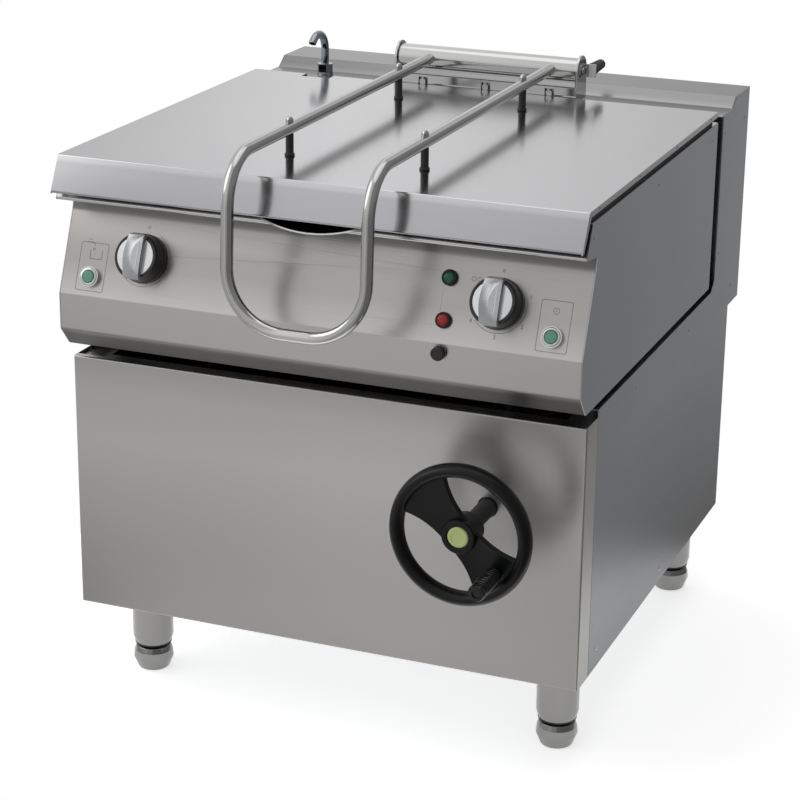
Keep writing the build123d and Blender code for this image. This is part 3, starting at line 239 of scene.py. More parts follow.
satin_tube = grained("satin_tube", (0.27, 0.267, 0.262), 0.22, grain=(40, 40, 2), bump=0.04)
# Painted shade: a near-black matt colour for the shaded gap above each foot.
painted_gap_shade = grained("painted_gap_shade", (0.02, 0.02, 0.02), 0.7, metallic=0.0)
dress(satin_tube, "legs", edge=0.0)
foot_profile = rounded(
    [(0, 0.0), (0.0235, 0.0), (0.025, 0.002), (0.0315, 0.018), (0.0302, 0.030), (0.0272, 0.0385), (0.0145, 0.0395),
     (0.0145, 0.0445), (0, 0.0445)], 0.0022)
for x in (-0.3375, 0.3375):
    for y, end in ((-0.21485, "front"), (0.41125, "rear")):
        side = "left" if x < 0 else "right"
        foot = piece(f"foot_{end}_{side}", turned(foot_profile, at(x, y, 0), 72, flats(0.0605, 6)), satin_tube,
                     "cabinet")
        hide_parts("feet")
        # Painted shade: a thin near-black ring stands for the shaded gap where the leg meets the foot.
        gap_shade_ring = [(0.0287, 0.0428), (0.0292, 0.0434), (0.0292, 0.0446), (0.0287, 0.0452)]
        piece(f"foot_gap_shade_{end}_{side}", turned(gap_shade_ring, at(x, y, 0), 48), painted_gap_shade, "cabinet")


# Frames behind the casing
# Welded square tube, plates and the folded cross beam, all zinc-coated, with two rubber buffers on
# which the pan body rests.
zinc = grained("zinc_coated", (0.46, 0.47, 0.48), 0.45, grain=(8, 8, 8), bump=0.15)
rubber = grained("black_rubber", (0.025, 0.025, 0.025), 0.6, grain=(9, 9, 9), bump=0.12, metallic=0.0)
dress(zinc, "base_frame", "upper_frame", "body_rails", "under_cover", "jack_shelf")
dress(rubber, "rest_buffers")


# Cabinet panels and rear column
# Ground stainless sheet with a horizontal grain, folded at the edges and held from the side by
# small domed screws. The slot that the pan body tilts through is cut from the side sheets.
# Painted shade: the front sheet's colour is darkened towards the floor and in a band just under the tilting body.
front_sheet = grained("ground_sheet_front", (0.60, 0.59, 0.575), 0.33, grain=(0.5, 30, 60), spread=0.6, turn=0.25,
                      bump=0.012, painted_shading=[(0.15, 0.56), (0.26, 0.74), (0.42, 1.0), (0.50, 0.95), (0.546, 0.80)])
# Painted shade: the side sheet is a darker, bluer copy of the front sheet that stands for the side's dimmer light,
# and its colour is darkened further towards the floor.
shaded_side_sheet = grained("ground_sheet_side_shaded", (0.45, 0.46, 0.49), 0.30, grain=(30, 0.5, 60), spread=0.5, turn=0.25,
                     bump=0.003, painted_shading=[(0.15, 0.30), (0.30, 0.62), (0.48, 0.95), (0.80, 1.0)])
dress(front_sheet, "front_panel", "rear_covers")
dress(shaded_side_sheet, "side_panel_right", "side_panel_left")
# Painted shade: the column casing's colour is darkened everywhere, most on its front slope just above the lid and
# least at its top.
top_sheet = grained("ground_sheet_top", (0.60, 0.60, 0.605), 0.24, grain=(0.5, 60, 30), spread=0.5, turn=0.25,
                    bump=0.01, axis="Y",
                    painted_shading=[(0.60, 0.6), (0.845, 0.6), (0.850, 0.46), (0.90, 0.46), (0.915, 0.85)])
dress(top_sheet, "column_casing")

screw_metal = grained("screw_metal", (0.55, 0.55, 0.54), 0.25, grain=(20, 20, 20), bump=0.02)
facing = {
    "right": Matrix.Rotation(math.radians(90), 4, "Y"),
    "left": Matrix.Rotation(math.radians(-90), 4, "Y"),
    "front": Matrix.Rotation(math.radians(90), 4, "X"),
}


def domed_screw(name, x, y, z, way, radius, height, body):
    """Low pan-head screw with a small round recess."""
    socket = radius * 0.42
    profile = [(radius, -0.0002), (radius, height * 0.35)]
    profile += [(radius * math.cos(a), height * (0.35 + 0.65 * math.sin(a))) for a in (0.35, 0.7, 1.0)]
    profile += [(socket, height), (socket * 0.95, height * 0.3), (0, height * 0.25)]
    return piece(name, turned(profile, at(x, y, z) @ facing[way], 24), screw_metal, body)


panel_face = -0.32735
sheet_side = 0.39995
screw_radius, screw_height = 0.0034, 0.0006
side_screws = [(0.242, 0.528), (0.532, 0.532), (0.823, 0.814), (0.700, 0.813), (0.700, 0.614), (0.797, 0.534),
               (0.090, 0.176), (0.430, 0.166), (0.765, 0.176)]
for side, edge_x in (("right", sheet_side), ("left", -sheet_side)):
    for i, (behind, z) in enumerate(side_screws):
        domed_screw(f"casing_screw_{side}_{i + 1}", edge_x, panel_face + behind, z, side, screw_radius, screw_height,
                    "cabinet")


# Tilting drive
# The pan turns in bronze bushes on two hook-shaped steel brackets. Inside the cabinet a bevel
# gearbox with a cast housing lifts a screw, whose cross pin pushes two slotted lever plates.
steel = grained("machined_steel", (0.42, 0.42, 0.43), 0.32, grain=(10, 10, 10), bump=0.08)
bronze = grained("bronze", (0.62, 0.45, 0.20), 0.34, grain=(12, 12, 12), bump=0.05)
casting = grained("painted_casting", (0.13, 0.14, 0.15), 0.5, grain=(5, 5, 5), bump=0.3, metallic=0.0)
dress(steel, "tilt_axle", "tilt_lever", "hook_brackets", "jack_screw", "crank_spindle")
dress(bronze, "trunnion_bushes")
dress(casting, "jack_housing")


# Tilting body
# Folded stainless casing of the pan: two side walls, the slanted front with its band and undercut,
# and the rear wall. Three small domed screws hold each side wall to the rails inside.
# Painted light and shade: the undercut under the band and the strip under the lid's apron are darkened, and the band
# and the foot of the slant are lightened.
slant_sheet = grained("ground_sheet_slant", (0.52, 0.505, 0.49), 0.30, grain=(0.5, 30, 60), spread=0.5, turn=0.25,
                      bump=0.012,
                      painted_shading=[(0.590, 0.20), (0.5975, 0.34), (0.5985, 1.10), (0.654, 1.15), (0.700, 0.88),
                              (0.767, 0.90), (0.770, 0.35)])
dress(slant_sheet, "fascia", "body_rear_wall", edge=0.0004)
# Painted shade: the body's side walls take the same darker side sheet.
dress(shaded_side_sheet, "body_side_right", "body_side_left")
for side, edge_x in (("right", sheet_side), ("left", -sheet_side)):
    for i, behind in enumerate((-0.002, 0.312, 0.616)):
        domed_screw(f"body_screw_{side}_{i + 1}", edge_x, panel_face + behind, 0.818, side, screw_radius,
                    screw_height, "pan")


# Pan
# Drawn stainless vessel with rounded corners under a deck sheet with a front lip and a round
# pouring trough. A thick steel base plate carries the hairpin elements; mineral wool fills the rest.
vessel_steel = grained("vessel_steel", (0.60, 0.60, 0.59), 0.22, grain=(14, 14, 14), bump=0.04)
mild_steel = grained("mild_steel", (0.25, 0.24, 0.23), 0.45, grain=(9, 9, 9), bump=0.12)
oxide = grained("oxidised_element", (0.16, 0.14, 0.13), 0.5, grain=(9, 9, 9), bump=0.1)
wool = grained("mineral_wool", (0.72, 0.66, 0.48), 0.95, grain=(30, 30, 8), bump=0.9, metallic=0.0)
dress(vessel_steel, "pan_well", "pan_deck", "element_tray", edge=0.0004)
dress(mild_steel, "pan_base_plate")
dress(oxide, "heating_elements", edge=0.0)
dress(wool, "insulation")


# Knobs
# Moulded black drum with a silver face let into its front. The finger ridge has one long flank and
# one steep side, with a white line along its crest; a steel spindle passes through the slant.
slope_top = Vector((0, panel_face + 0.012, 0.768))
slope_foot = Vector((0, panel_face - 0.035, 0.653))
down_slope = (slope_foot - slope_top).normalized()
off_slope = Vector((0, down_slope.z, -down_slope.y))


def on_slope(x, down, off=0.0):
    """Place on the slant: local x to the right, y up the slope and z outwards."""
    spot = slope_top + Vector((x, 0, 0)) + down_slope * down + off_slope * off
    turn = Matrix(((1, -down_slope.x, off_slope.x), (0, -down_slope.y, off_slope.y), (0, -down_slope.z, off_slope.z)))
    return Matrix.Translation(spot) @ turn.to_4x4()


def slab(outline, low, high, place):
    """Thick plate between two heights, from a closed outline."""
    work = bmesh.new()
    bottom = [work.verts.new((x, y, low)) for x, y in outline]
    face = work.faces.new(bottom)
    lifted = bmesh.ops.extrude_face_region(work, geom=[face])["geom"]
    top = [v for v in lifted if isinstance(v, bmesh.types.BMVert)]
    bmesh.ops.translate(work, verts=top, vec=(0, 0, high - low))
    bmesh.ops.recalc_face_normals(work, faces=work.faces)
    bmesh.ops.transform(work, matrix=place, verts=work.verts)
    mesh = bpy.data.meshes.new("slab")
    work.to_mesh(mesh)
    work.free()
    return mesh


black = grained("black_plastic", (0.018, 0.018, 0.019), 0.28, grain=(16, 16, 16), bump=0.04, metallic=0.0)
matt_black = grained("matt_black_plastic", (0.02, 0.02, 0.021), 0.5, grain=(16, 16, 16), bump=0.1, metallic=0.0)
knob_silver = grained("knob_silver", (0.78, 0.785, 0.80), 0.24, grain=(2, 30, 30), bump=0.006, metallic=0.9)
knob_dark = grained("knob_silver_satin", (0.50, 0.505, 0.52), 0.30, grain=(2, 30, 30), bump=0.006, metallic=0.9)
knob_white = grained("knob_white_line", (0.85, 0.85, 0.85), 0.4, grain=(8, 8, 8), bump=0.01, metallic=0.0)
grey_block = grained("grey_plastic", (0.5, 0.51, 0.52), 0.5, grain=(8, 8, 8), bump=0.05, metallic=0.0)
dress(grey_block, "switch_bodies")
skirt_profile = rounded(
    [(0, 0), (0.0355, 0), (0.036, 0.0015), (0.036, 0.0060), (0.0349, 0.0085), (0.0336, 0.0280), (0.0322, 0.0302),
     (0.0288, 0.0302), (0.0288, 0.0296), (0, 0.0296)], 0.0008)
cap_profile = rounded([(0.0286, 0.0290), (0.0286, 0.0303), (0.0279, 0.0308), (0.0, 0.0308)], 0.0004)
spindle_profile = rounded([(0, -0.0145), (0.003, -0.0145), (0.003, 0.001), (0, 0.001)], 0.0002)
white_line = [(0.0062, -0.0180), (0.0082, -0.0180), (0.0082, 0.0190), (0.0062, 0.0190)]


def finger_ridge(place, reach=0.0335, face=0.0302, crest_height=0.0396, stations=48):
    """Ridge across the knob's face, from cross sections along its length."""
    verts, faces = [], []
    for k in range(stations + 1):
        v = reach * (2 * k - stations) / stations
        foot = max(-0.0200 + 0.0065 * (v / reach) ** 2, -math.sqrt(0.0345 ** 2 - v ** 2))
        crest = min(-0.0026 + 0.0140 * (v / 0.028) ** 2, 0.0118)
        wall = min(0.0136, math.sqrt(0.0362 ** 2 - v ** 2))
        top = crest_height - 0.0050 * abs(v / reach) ** 5
        section = [(foot, face - 0.0006)]
        for s in range(9):
            rise = 0.45 * math.sin(math.pi / 2 * s / 8) + 0.55 * s / 8
            section.append((foot + (crest - foot) * s / 8, face + (top - face) * rise))
        section += [(crest + 0.0003, top), (wall - 0.0008, top - 0.0002), (wall - 0.0001, top - 0.0012),
                    (wall, face - 0.0006)]
        verts += [place @ Vector((across, v, h)) for across, h in section]
    width = len(section)
    for k in range(stations):
        for j in range(width):
            n = (j + 1) % width
            faces.append((k * width + j, (k + 1) * width + j, (k + 1) * width + n, k * width + n))
    faces += [tuple(range(width)), tuple(range(stations * width, (stations + 1) * width))[::-1]]
    return closed_mesh("ridge", verts, faces)


for side, x in (("right", 0.271), ("left", -0.271)):
    place = on_slope(x, 0.060, 0.001)
    body = f"{side}_knob"
    skirt = piece(f"knob_skirt_{side}", turned(skirt_profile, place, 96), black, body)
    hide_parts(f"knob_{side}")
    piece(f"knob_cap_{side}", turned(cap_profile, place, 96), knob_silver, body)
    piece(f"knob_bar_{side}", finger_ridge(place), knob_dark, body, 50)
    piece(f"knob_mark_{side}", slab(white_line, 0.0390, 0.03985, place), knob_white, body)
    piece(f"knob_spindle_{side}", turned(spindle_profile, place, 24), screw_metal, body)


# Push buttons
# Green plastic cap, slightly domed, that slides in a turned metal ring. The ring is screwed to the
# slant from behind, and its bezel covers the ring's edge.
ring_metal = grained("ring_metal", (0.66, 0.66, 0.65), 0.2, grain=(12, 12, 12), bump=0.02)
green_cap = grained("green_plastic", (0.15, 0.40, 0.28), 0.25, grain=(12, 12, 12), bump=0.01, metallic=0.0)
dress(ring_metal, "button_rings", edge=0.0005)
button_profile = rounded([(0, -0.004), (0.0093, -0.004), (0.0093, 0.0074), (0.0080, 0.0090), (0, 0.0092)], 0.001)
bezel_ring = rounded([(0.0096, 0.002), (0.0096, 0.0078), (0.0104, 0.0082), (0.0125, 0.0078), (0.0149, 0.0058),
                      (0.0150, 0.0002)], 0.0008)
for side, x in (("right", 0.353), ("left", -0.353)):
    place = on_slope(x, 0.096)
    button = piece(f"push_button_{side}", turned(button_profile, place, 48), green_cap, f"{side}_button")
    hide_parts(f"button_{side}")
    piece(f"button_bezel_{side}", turned(bezel_ring, place, 64), ring_metal, "pan")


# Printed marks
# Thin dark lines on the slant, as a screen print leaves them: a frame with a sign round each push
# button, and a scale with the numbers 1 to 4 round the right knob.
print_ink = grained("printed_mark", (0.16, 0.16, 0.165), 0.5, metallic=0.0, bump=0.0)


def drawn(name, points, width, closed=False, lift=0.00008, place=None):
    """Thin printed line on the slant, as a flat ribbon."""
    spots = [Vector((x, y, 0)) for x, y in points]
    if closed:
        spots.append(spots[0])
    verts, faces = [], []
    for a, b in zip(spots, spots[1:]):
        along = (b - a).normalized()
        across = Vector((-along.y, along.x, 0)) * width / 2
        stretch = along * width / 2
        corners = [a - stretch - across, b + stretch - across, b + stretch + across, a - stretch + across]
        faces.append(tuple(range(len(verts), len(verts) + 4)))
        verts += [place @ (p + Vector((0, 0, lift))) for p in corners]
    mesh = bpy.data.meshes.new("ribbon")
    mesh.from_pydata(verts, [], faces)
    return piece(name, mesh, print_ink, "pan")


def arc(radius, start, end, count=24, cx=0.0, cy=0.0):
    """Points along a circle, from one angle in degrees to another."""
    steps = [math.radians(start + (end - start) * k / count) for k in range(count + 1)]
    return [(cx + radius * math.cos(a), cy + radius * math.sin(a)) for a in steps]


for side, x in (("right", 0.353), ("left", -0.353)):
    middle = on_slope(x, 0.081)
    box = rounded([(-0.0222, -0.0353), (0.0222, -0.0353), (0.0222, 0.0353), (-0.0222, 0.0353)], 0.003, closed=True)
    drawn(f"button_frame_{side}", box, 0.0007, closed=True, place=middle)
    upper = on_slope(x, 0.060)
    if side == "right":
        drawn("button_sign_ring", arc(0.0042, 0, 360), 0.0006, place=upper)
        drawn("button_sign_line", [(0, -0.0015), (0, 0.0015)], 0.0007, place=upper)
    else:
        drawn("button_sign_tap", [(-0.013, 0.015), (-0.004, 0.015), (-0.001, 0.013), (-0.001, 0.009)], 0.0008,
              place=upper)
        drawn("button_sign_valve", [(-0.011, 0.019), (-0.006, 0.019)], 0.0008, place=upper)
        drawn("button_sign_drop", arc(0.0014, 0, 360, 12, -0.001, 0.005), 0.0006, place=upper)
        drawn("button_sign_basin", [(-0.006, 0.003), (-0.006, -0.009), (0.013, -0.009), (0.013, 0.003)], 0.0008,
              place=upper)

right_scale = on_slope(0.271, 0.060)
scale_radius, digit_half = 0.046, 0.0024
digits = (
    ("1", 18, [(-0.3, 0.6), (0, 1), (0, -1)]),
    ("2", -36, [(-0.5, 0.6), (-0.2, 1), (0.3, 1), (0.5, 0.5), (-0.5, -1), (0.6, -1)]),
    ("3", -90, [(-0.5, 1), (0.5, 1), (0, 0.2), (0.5, -0.3), (0.3, -0.9), (-0.2, -1), (-0.5, -0.8)]),
    ("4", -144, [(0.3, -1), (0.3, 1), (-0.5, -0.4), (0.6, -0.4)]),
)
for digit, degrees, stroke in digits:
    cx = scale_radius * math.cos(math.radians(degrees))
    cy = scale_radius * math.sin(math.radians(degrees))
    drawn(f"scale_digit_{digit}", [(cx + digit_half * x, cy + digit_half * y) for x, y in stroke], 0.0007,
          place=right_scale)
drawn("scale_arc", arc(0.0405, 10, -140), 0.0006, place=right_scale)
drawn("scale_zero", arc(0.0018, 0, 360, 12, 0, scale_radius), 0.0006, place=right_scale)
left_scale = on_slope(-0.271, 0.060)
drawn("left_scale_ring", arc(0.002, 0, 360, 12, 0, scale_radius), 0.0006, place=left_scale)
drawn("left_scale_arc", arc(0.0405, 60, -160), 0.0006, place=left_scale)
lamp_sign = on_slope(0.234, 0.030)
for i, off in enumerate((-0.0042, 0.0042)):
    drawn(f"lamp_sign_{i + 1}", arc(0.003, 0, 360, 16, off, 0), 0.0006, place=lamp_sign)


# Pilot lamps
# Low domed lens of clear coloured plastic with fine facets behind it, held by a black snap-in bezel
# on a matt black housing.
dress(matt_black, "lamps", edge=0.0003)
lens_plastic = {}
for name, colour in (("green", (0.0, 0.13, 0.055)), ("red", (0.50, 0.004, 0.006))):
    material, nodes, link = new_material(f"{name}_lens")
    shader = nodes["Principled BSDF"]
    shader.inputs["Roughness"].default_value = 0.22
    shader.inputs["Coat Weight"].default_value = 0.2
    ribs = nodes.new("ShaderNodeTexVoronoi")
    ribs.inputs["Scale"].default_value = 900.0
    coords = nodes.new("ShaderNodeTexCoord")
    link(coords.outputs["Object"], ribs.inputs["Vector"])
    shade = nodes.new("ShaderNodeMix")
    shade.data_type = "RGBA"
    shade.inputs[6].default_value = (*colour, 1)
    shade.inputs[7].default_value = (*[c * 0.5 for c in colour], 1)
    link(ribs.outputs["Distance"], shade.inputs[0])
    link(shade.outputs[2], shader.inputs["Base Color"])
    relief = nodes.new("ShaderNodeBump")
    relief.inputs["Strength"].default_value = 0.25
    relief.inputs["Distance"].default_value = 0.0005
    link(ribs.outputs["Distance"], relief.inputs["Height"])
    link(relief.outputs["Normal"], shader.inputs["Normal"])
    lens_plastic[name] = material
lens_profile = [(0, 0.0078)]
lens_profile += [(0.0087 * math.sin(a), 0.0053 + 0.0025 * math.cos(a)) for a in (0.4, 0.8, 1.2, 1.57)]
lens_profile += [(0.0088, 0.0045)]
bezel_profile = rounded([(0.0088, 0.0040), (0.0088, 0.0060), (0.0098, 0.0064), (0.0113, 0.0048), (0.0114, 0.0002)],
                        0.0005)
for name, down in (("green", 0.0326), ("red", 0.0919)):
    place = on_slope(0.1954, down)
    piece(f"lamp_lens_{name}", turned(lens_profile, place, 48), lens_plastic[name], "pan")
    piece(f"lamp_bezel_{name}", turned(bezel_profile, place, 48), matt_black, "pan")


# Reset button
# Black cap of the overheating cut-out, on a stem through the band under the slant, with a low
# black collar round it.
reset_place = at(0.194, panel_face - 0.035, 0.640) @ facing["front"]
reset_profile = rounded([(0, -0.012), (0.0039, -0.012), (0.0039, 0.0062), (0.0099, 0.0063), (0.0099, 0.0092),
                         (0.0082, 0.0101), (0, 0.0096)], 0.0005)
reset = piece("reset_cap", turned(reset_profile, reset_place, 48), black, "reset")
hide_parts("reset_button")
collar = rounded([(0.0042, 0.0008), (0.0042, 0.0031), (0.0100, 0.0032), (0.0111, 0.0022), (0.0112, 0.0001)], 0.0005)
piece("reset_collar", turned(collar, reset_place, 48), matt_black, "pan")


# Handwheel
# One black moulding: an oval rim, a broad web through the middle and a deep hub with a pressed-in
# yellow-green cap. Its ribbed grip turns on a bolt that is held by a nut behind the web.
glossy_black = grained("handwheel_plastic", (0.004, 0.0045, 0.005), 0.34, grain=(6, 6, 6), bump=0.03, metallic=0.0)
glossy_black.node_tree.nodes["Principled BSDF"].inputs["Specular IOR Level"].default_value = 0.3
grip_black = grained("grip_plastic", (0.004, 0.0045, 0.005), 0.14, grain=(6, 6, 6), bump=0.01, metallic=0.0)
dress(matt_black, "spindle_sleeve")
dress(screw_metal, "grip_bolt")
wheel_x, wheel_z = 0.258, 0.408
wheel_place = at(wheel_x, panel_face - 0.110, wheel_z) @ facing["front"]
oval = [(0.094 + 0.010 * math.cos(a), 0.014 * math.sin(a)) for a in [math.radians(15 * k) for k in range(25)]]
rim = piece("wheel_rim", turned(oval, wheel_place, 128), glossy_black, "crank_wheel", 60)
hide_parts("handwheel")
web_turn = wheel_place @ Matrix.Rotation(math.radians(-45), 4, "Z")
web_section = ((1, 0), (0.97, 0.0040), (0.92, 0.0054), (0.80, 0.0046), (0, 0.0042), (-0.80, 0.0046),
               (-0.92, 0.0054), (-0.97, 0.0040), (-1, 0), (-0.97, -0.0040), (-0.92, -0.0054), (0.92, -0.0054),
               (0.97, -0.0040))
web_reach, web_waist, web_flare, web_steps = 0.0925, 0.0235, 0.034, 24
web_verts, web_faces = [], []
for k in range(-web_steps, web_steps + 1):
    u = web_reach * k / web_steps
    flare = web_waist + web_flare * (abs(u) / web_reach) ** 2.6
    half = min(flare, math.sqrt(0.0935 ** 2 - u ** 2))
    web_verts += [web_turn @ Vector((u, half * s, h)) for s, h in web_section]
corners = len(web_section)
for k in range(2 * web_steps):
    for j in range(corners):
        n = (j + 1) % corners
        web_faces.append((k * corners + j, k * corners + n, (k + 1) * corners + n, (k + 1) * corners + j))
web_mesh = bpy.data.meshes.new("web")
web_mesh.from_pydata(web_verts, [], web_faces)
piece("wheel_web", web_mesh, glossy_black, "crank_wheel", 30)
hub_profile = rounded(
    [(0.0101, -0.0298), (0.0235, -0.0298), (0.0248, -0.028), (0.0248, 0.0095), (0.0235, 0.0118), (0.0162, 0.0118),
     (0.0156, 0.0075), (0.0, 0.0070)], 0.0012)
piece("wheel_hub", turned(hub_profile, wheel_place, 72), glossy_black, "crank_wheel")
cap_green = grained("wheel_cap_plastic", (0.56, 0.66, 0.26), 0.32, grain=(9, 9, 9), bump=0.02, metallic=0.0)
cap_shape = rounded([(0.0, 0.0113), (0.0095, 0.0113), (0.0102, 0.0118), (0.0136, 0.0118), (0.0153, 0.0104),
                     (0.0154, 0.0072)], 0.0006)
hub_cap = piece("wheel_cap_disc", turned(cap_shape, wheel_place, 64), cap_green, "crank_wheel")
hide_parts("wheel_cap")

grip_out, grip_angle = 0.070, math.radians(-40)
grip_place = at(wheel_x + grip_out * math.cos(grip_angle), panel_face, wheel_z + grip_out * math.sin(grip_angle))
grip_place = grip_place @ facing["front"]
grip_profile = [(0.0041, 0.1163), (0.0085, 0.1163), (0.0094, 0.1175), (0.0094, 0.1205)]
for k in range(9):
    base = 0.1215 + k * 0.0068
    swell = 0.0106 + 0.0020 * math.sin(math.pi * min(1.0, (k + 0.8) / 11))
    grip_profile += [(swell - 0.0012, base), (swell, base + 0.0012), (swell, base + 0.0050),
                     (swell - 0.0012, base + 0.0062)]
grip_profile += [(0.0124, 0.1840), (0.0123, 0.1905), (0.0108, 0.1934), (0.0060, 0.1938), (0.0058, 0.1915),
                 (0, 0.1912)]
grip = piece("wheel_grip_handle", turned(grip_profile, grip_place, 48), grip_black, "turning_grip",
             50)
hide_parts("wheel_grip")


# Lid
# One folded stainless shell with a slanted apron in front, closed side strips fixed by rivets, a
# dished inner sheet and a black rubber seal that rests on the pan deck.
# Painted shade: the lid's slanted apron, below its top, is darkened.
lid_sheet = grained("ground_sheet_lid", (0.585, 0.585, 0.60), 0.15, grain=(0.5, 60, 30), spread=0.3, turn=0.25,
                    bump=0.006, axis="Y", painted_shading=[(0.80, 0.74), (0.848, 0.80), (0.853, 1.0), (0.86, 1.0)])
dress(lid_sheet, "lid_shell", edge=0.0004)
dress(vessel_steel, "lid_liner")
dress(rubber, "lid_seal")
for side, edge_x in (("right", 0.39885), ("left", -0.39885)):
    for i, behind in enumerate((0.020, 0.212, 0.405, 0.604)):
        domed_screw(f"lid_rivet_{side}_{i + 1}", edge_x, panel_face + behind, 0.854, side, 0.0026, 0.0008, "lid")


# Lid hinge
# Polished tube that turns on a shaft with two torsion springs, between rounded cheeks on a folded
# bracket. Three bolts hold the bracket, and a rubber buffer at the right stops the open lid.
polished = grained("polished_tube", (0.58, 0.575, 0.57), 0.13, grain=(3, 30, 30), bump=0.012)
spring_steel = grained("spring_steel", (0.3, 0.3, 0.31), 0.35, grain=(12, 12, 12), bump=0.05)
dress(polished, "hinge_tube", edge=0.0004)
dress(polished, "hinge_bracket")
dress(steel, "hinge_shaft")
dress(spring_steel, "lid_springs", edge=0.0)
dress(screw_metal, "bracket_bolts")
dress(rubber, "lid_stop")
washer = rounded([(0.0071, 0.0001), (0.0118, 0.0001), (0.0118, 0.0012), (0.0071, 0.0014)], 0.0003)
for side, x in (("left", -0.1520), ("right", 0.1630)):
    cheek_place = at(x, panel_face + 0.680, 0.896) @ facing[side]
    piece(f"hinge_washer_{side}", turned(washer, cheek_place, 40), screw_metal, "pan")


# Lid handle
# One bent stainless tube, welded to the hinge tube and carried by four black posts with small
# domed nuts; its front hangs down in front of the control panel.
def tube(route, radius, steps=28):
    """Round tube along a line of points, with closed ends."""
    verts, faces = [], []
    normal = None
    last = None
    for i, p in enumerate(route):
        ahead = route[min(i + 1, len(route) - 1)] - route[max(i - 1, 0)]
        ahead.normalize()
        if normal is None:
            normal = ahead.orthogonal().normalized()
        else:
            normal = last.rotation_difference(ahead) @ normal
        last = ahead
        side_way = ahead.cross(normal)
        for k in range(steps):
            a = 2 * math.pi * k / steps
            verts.append(p + (normal * math.cos(a) + side_way * math.sin(a)) * radius)
    for i in range(len(route) - 1):
        for k in range(steps):
            n = (k + 1) % steps
            faces.append((i * steps + k, i * steps + n, (i + 1) * steps + n, (i + 1) * steps + k))
    faces.append(tuple(range(steps))[::-1])
    faces.append(tuple(range((len(route) - 1) * steps, len(route) * steps)))
    mesh = bpy.data.meshes.new("tube")
    mesh.from_pydata(verts, [], faces)
    return mesh


arm_left, arm_right = -0.093, 0.115
arm_z = 0.898
weld_y, knee_y, low_y, low_z = 0.345, panel_face - 0.100, panel_face - 0.112, 0.662
route = [
    (arm_left, weld_y, arm_z), (arm_left, knee_y, arm_z), (arm_left, low_y, low_z), (arm_right, low_y, low_z),
    (arm_right, knee_y, arm_z), (arm_right, weld_y, arm_z)]
bar_line = rounded(route, [0, 0.070, 0.085, 0.085, 0.070, 0], 14)
bar = piece("handle_bar", tube(bar_line, 0.009, 32), polished, "lid", 60)
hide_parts("lid_handle")
post_profile = rounded([(0.0, 0.8581), (0.0074, 0.8581), (0.0074, 0.8612), (0.0058, 0.8622), (0.0058, 0.8900),
                        (0.0, 0.8900)], 0.0006)
nut_profile = rounded([(0.0057, 0.9045), (0.0057, 0.9105), (0.0048, 0.9118)], 0.0004)
nut_profile += [(0.0043 * math.cos(a), 0.9118 + 0.0040 * math.sin(a)) for a in (0.2, 0.6, 1.0, 1.3)] + [(0, 0.9158)]
post_number = 0
for x in (arm_left, arm_right):
    for y in (panel_face + 0.104, panel_face + 0.526):
        post_number += 1
        post = piece(f"arm_post_{post_number}", turned(post_profile, at(x, y, 0), 40), matt_black, "lid")
        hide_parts("arm_posts")
        piece(f"arm_nut_{post_number}", turned(nut_profile, at(x, y, 0), 36, flats(0.010, 6)), screw_metal, "lid")


# Water tap
# Swan neck of chromed tube with an open mouth, in a hexagon nut on a round flange. It stands on
# the ledge of the rear column and swings to both sides over the pan.
chrome = grained("chrome", (0.40, 0.42, 0.45), 0.07, grain=(4, 4, 4), bump=0.004)
dress(chrome, "tap_base", "tap_spout", edge=0.0004)


# Water and electrical parts
# Brass valve with its black coil, copper pipe, hose union on the back, cable gland, bonding stud,
# terminal box and three contactors on a rail.
copper = grained("copper_pipe", (0.66, 0.36, 0.22), 0.32, grain=(8, 8, 8), bump=0.06)
brass = grained("brass", (0.70, 0.50, 0.20), 0.3, grain=(12, 12, 12), bump=0.05)
dress(brass, "water_valve", "rear_connections")
dress(copper, "water_pipes", edge=0.0)
dress(grey_block, "electrics")


# Floor and surround
# Not part of the object: a pale round floor that keeps the shadow, and a surround that the camera
# sees as white and the metal sees brighter from the front left and above than from the right.
floor_material, nodes, link = new_material("pale_floor")
shader = nodes["Principled BSDF"]
shader.inputs["Base Color"].default_value = (0.80, 0.80, 0.80, 1)
shader.inputs["Roughness"].default_value = 0.9
shader.inputs["Emission Color"].default_value = (1, 1, 1, 1)
shader.inputs["Emission Strength"].default_value = 0.62
disc = bmesh.new()
bmesh.ops.create_circle(disc, cap_ends=True, radius=0.74, segments=96)
floor_mesh = bpy.data.meshes.new("floor")
disc.to_mesh(floor_mesh)
disc.free()
floor_mesh.materials.append(floor_material)
floor = bpy.data.objects.new("floor", floor_mesh)
bpy.context.scene.collection.objects.link(floor)

world = bpy.data.worlds.new("surround")
bpy.context.scene.world = world
world.use_nodes = True
nodes, link = world.node_tree.nodes, world.node_tree.links.new
backdrop = nodes["Background"]
coords = nodes.new("ShaderNodeTexCoord")
parts = nodes.new("ShaderNodeSeparateXYZ")
link(coords.outputs["Generated"], parts.inputs["Vector"])
height_light = nodes.new("ShaderNodeMapRange")
height_light.inputs["From Min"].default_value = -0.25
height_light.inputs["From Max"].default_value = 0.40
height_light.inputs["To Min"].default_value = 0.50
height_light.inputs["To Max"].default_value = 0.78
link(parts.outputs["Z"], height_light.inputs["Value"])
spread_x = nodes.new("ShaderNodeMapRange")
spread_x.inputs["From Min"].default_value = -1.0
link(parts.outputs["X"], spread_x.inputs["Value"])
side_light = nodes.new("ShaderNodeValToRGB")
stops = [(0.0, 0.9), (0.26, 0.95), (0.31, 1.3), (0.35, 1.1), (0.42, 0.75), (0.55, 0.75), (0.60, 1.0), (0.625, 0.5),
         (0.67, 0.36), (1.0, 0.32)]
side_light.color_ramp.elements[0].position, side_light.color_ramp.elements[1].position = 0.0, 1.0
for spot, value in stops[1:-1]:
    side_light.color_ramp.elements.new(spot)
for stop, (spot, value) in zip(side_light.color_ramp.elements, stops):
    stop.color = (value, value, value, 1)
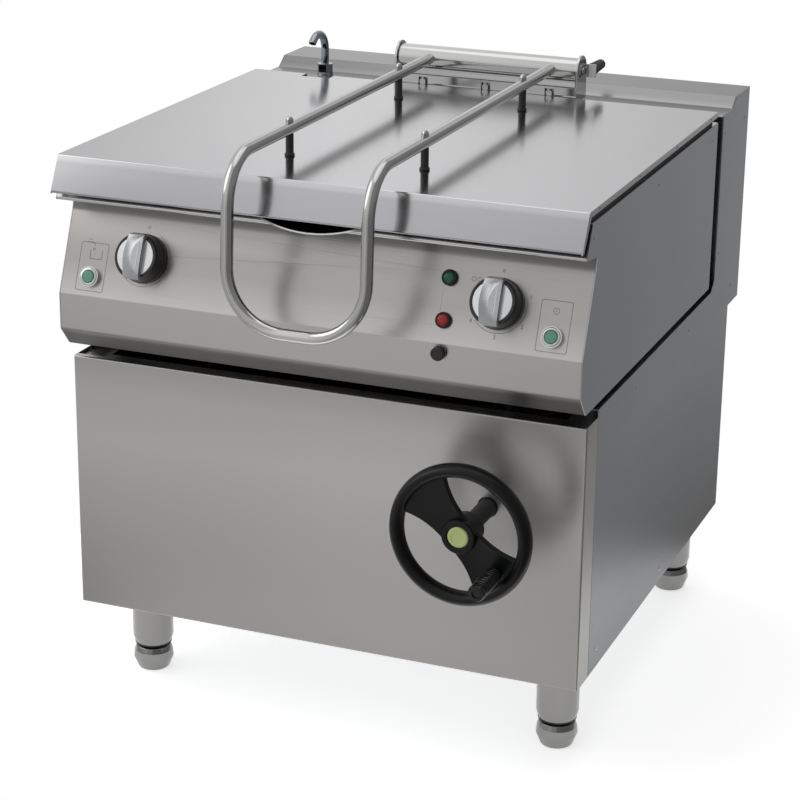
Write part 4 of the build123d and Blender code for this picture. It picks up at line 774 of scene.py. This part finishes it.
link(spread_x.outputs["Result"], side_light.inputs["Fac"])
mixed = nodes.new("ShaderNodeMath")
mixed.operation = "MULTIPLY"
link(height_light.outputs["Result"], mixed.inputs[0])
link(side_light.outputs["Color"], mixed.inputs[1])
ray = nodes.new("ShaderNodeLightPath")
choice = nodes.new("ShaderNodeMix")
choice.data_type = "FLOAT"
choice.inputs[3].default_value = 1.0
link(ray.outputs["Is Camera Ray"], choice.inputs[0])
link(mixed.outputs["Value"], choice.inputs[2])
link(choice.outputs[0], backdrop.inputs["Color"])
backdrop.inputs["Strength"].default_value = 1.0


# Lamps and camera
# Not part of the object: two large soft lamps from the front left and from above, and the camera
# at the photograph's viewing angle.
def lamp(name, spot, aim, size, power):
    """Round area light that points at its aim."""
    light = bpy.data.lights.new(name, "AREA")
    light.shape = "DISK"
    light.size = size
    light.energy = power
    item = bpy.data.objects.new(name, light)
    item.location = spot
    item.rotation_euler = (Vector(aim) - Vector(spot)).to_track_quat("-Z", "Y").to_euler()
    bpy.context.scene.collection.objects.link(item)


lamp("key", (-3.2, -1.6, 3.0), (0, 0, 0.5), 3.4, 34)
lamp("top", (0.3, 0.4, 3.8), (0, 0, 0.8), 3.4, 16)

camera_data = bpy.data.cameras.new("camera")
camera_data.sensor_width = 36.0
camera_data.lens = 106.1
camera = bpy.data.objects.new("camera", camera_data)
bpy.context.scene.collection.objects.link(camera)
yaw, pitch, roll = math.radians(21.5), math.radians(-19.48), math.radians(0.72)
ahead = Vector((-math.sin(yaw) * math.cos(pitch), math.cos(yaw) * math.cos(pitch), math.sin(pitch)))
level = Vector((math.cos(yaw), math.sin(yaw), 0))
upright = level.cross(ahead)
right = level * math.cos(roll) + upright * math.sin(roll)
up = right.cross(ahead)
camera.matrix_world = Matrix.Translation((1.273, -3.24635, 1.659)) @ Matrix(
    ((right.x, up.x, -ahead.x), (right.y, up.y, -ahead.y), (right.z, up.z, -ahead.z))).to_4x4()
bpy.context.scene.camera = camera
bpy.context.scene.view_settings.view_transform = "Standard"
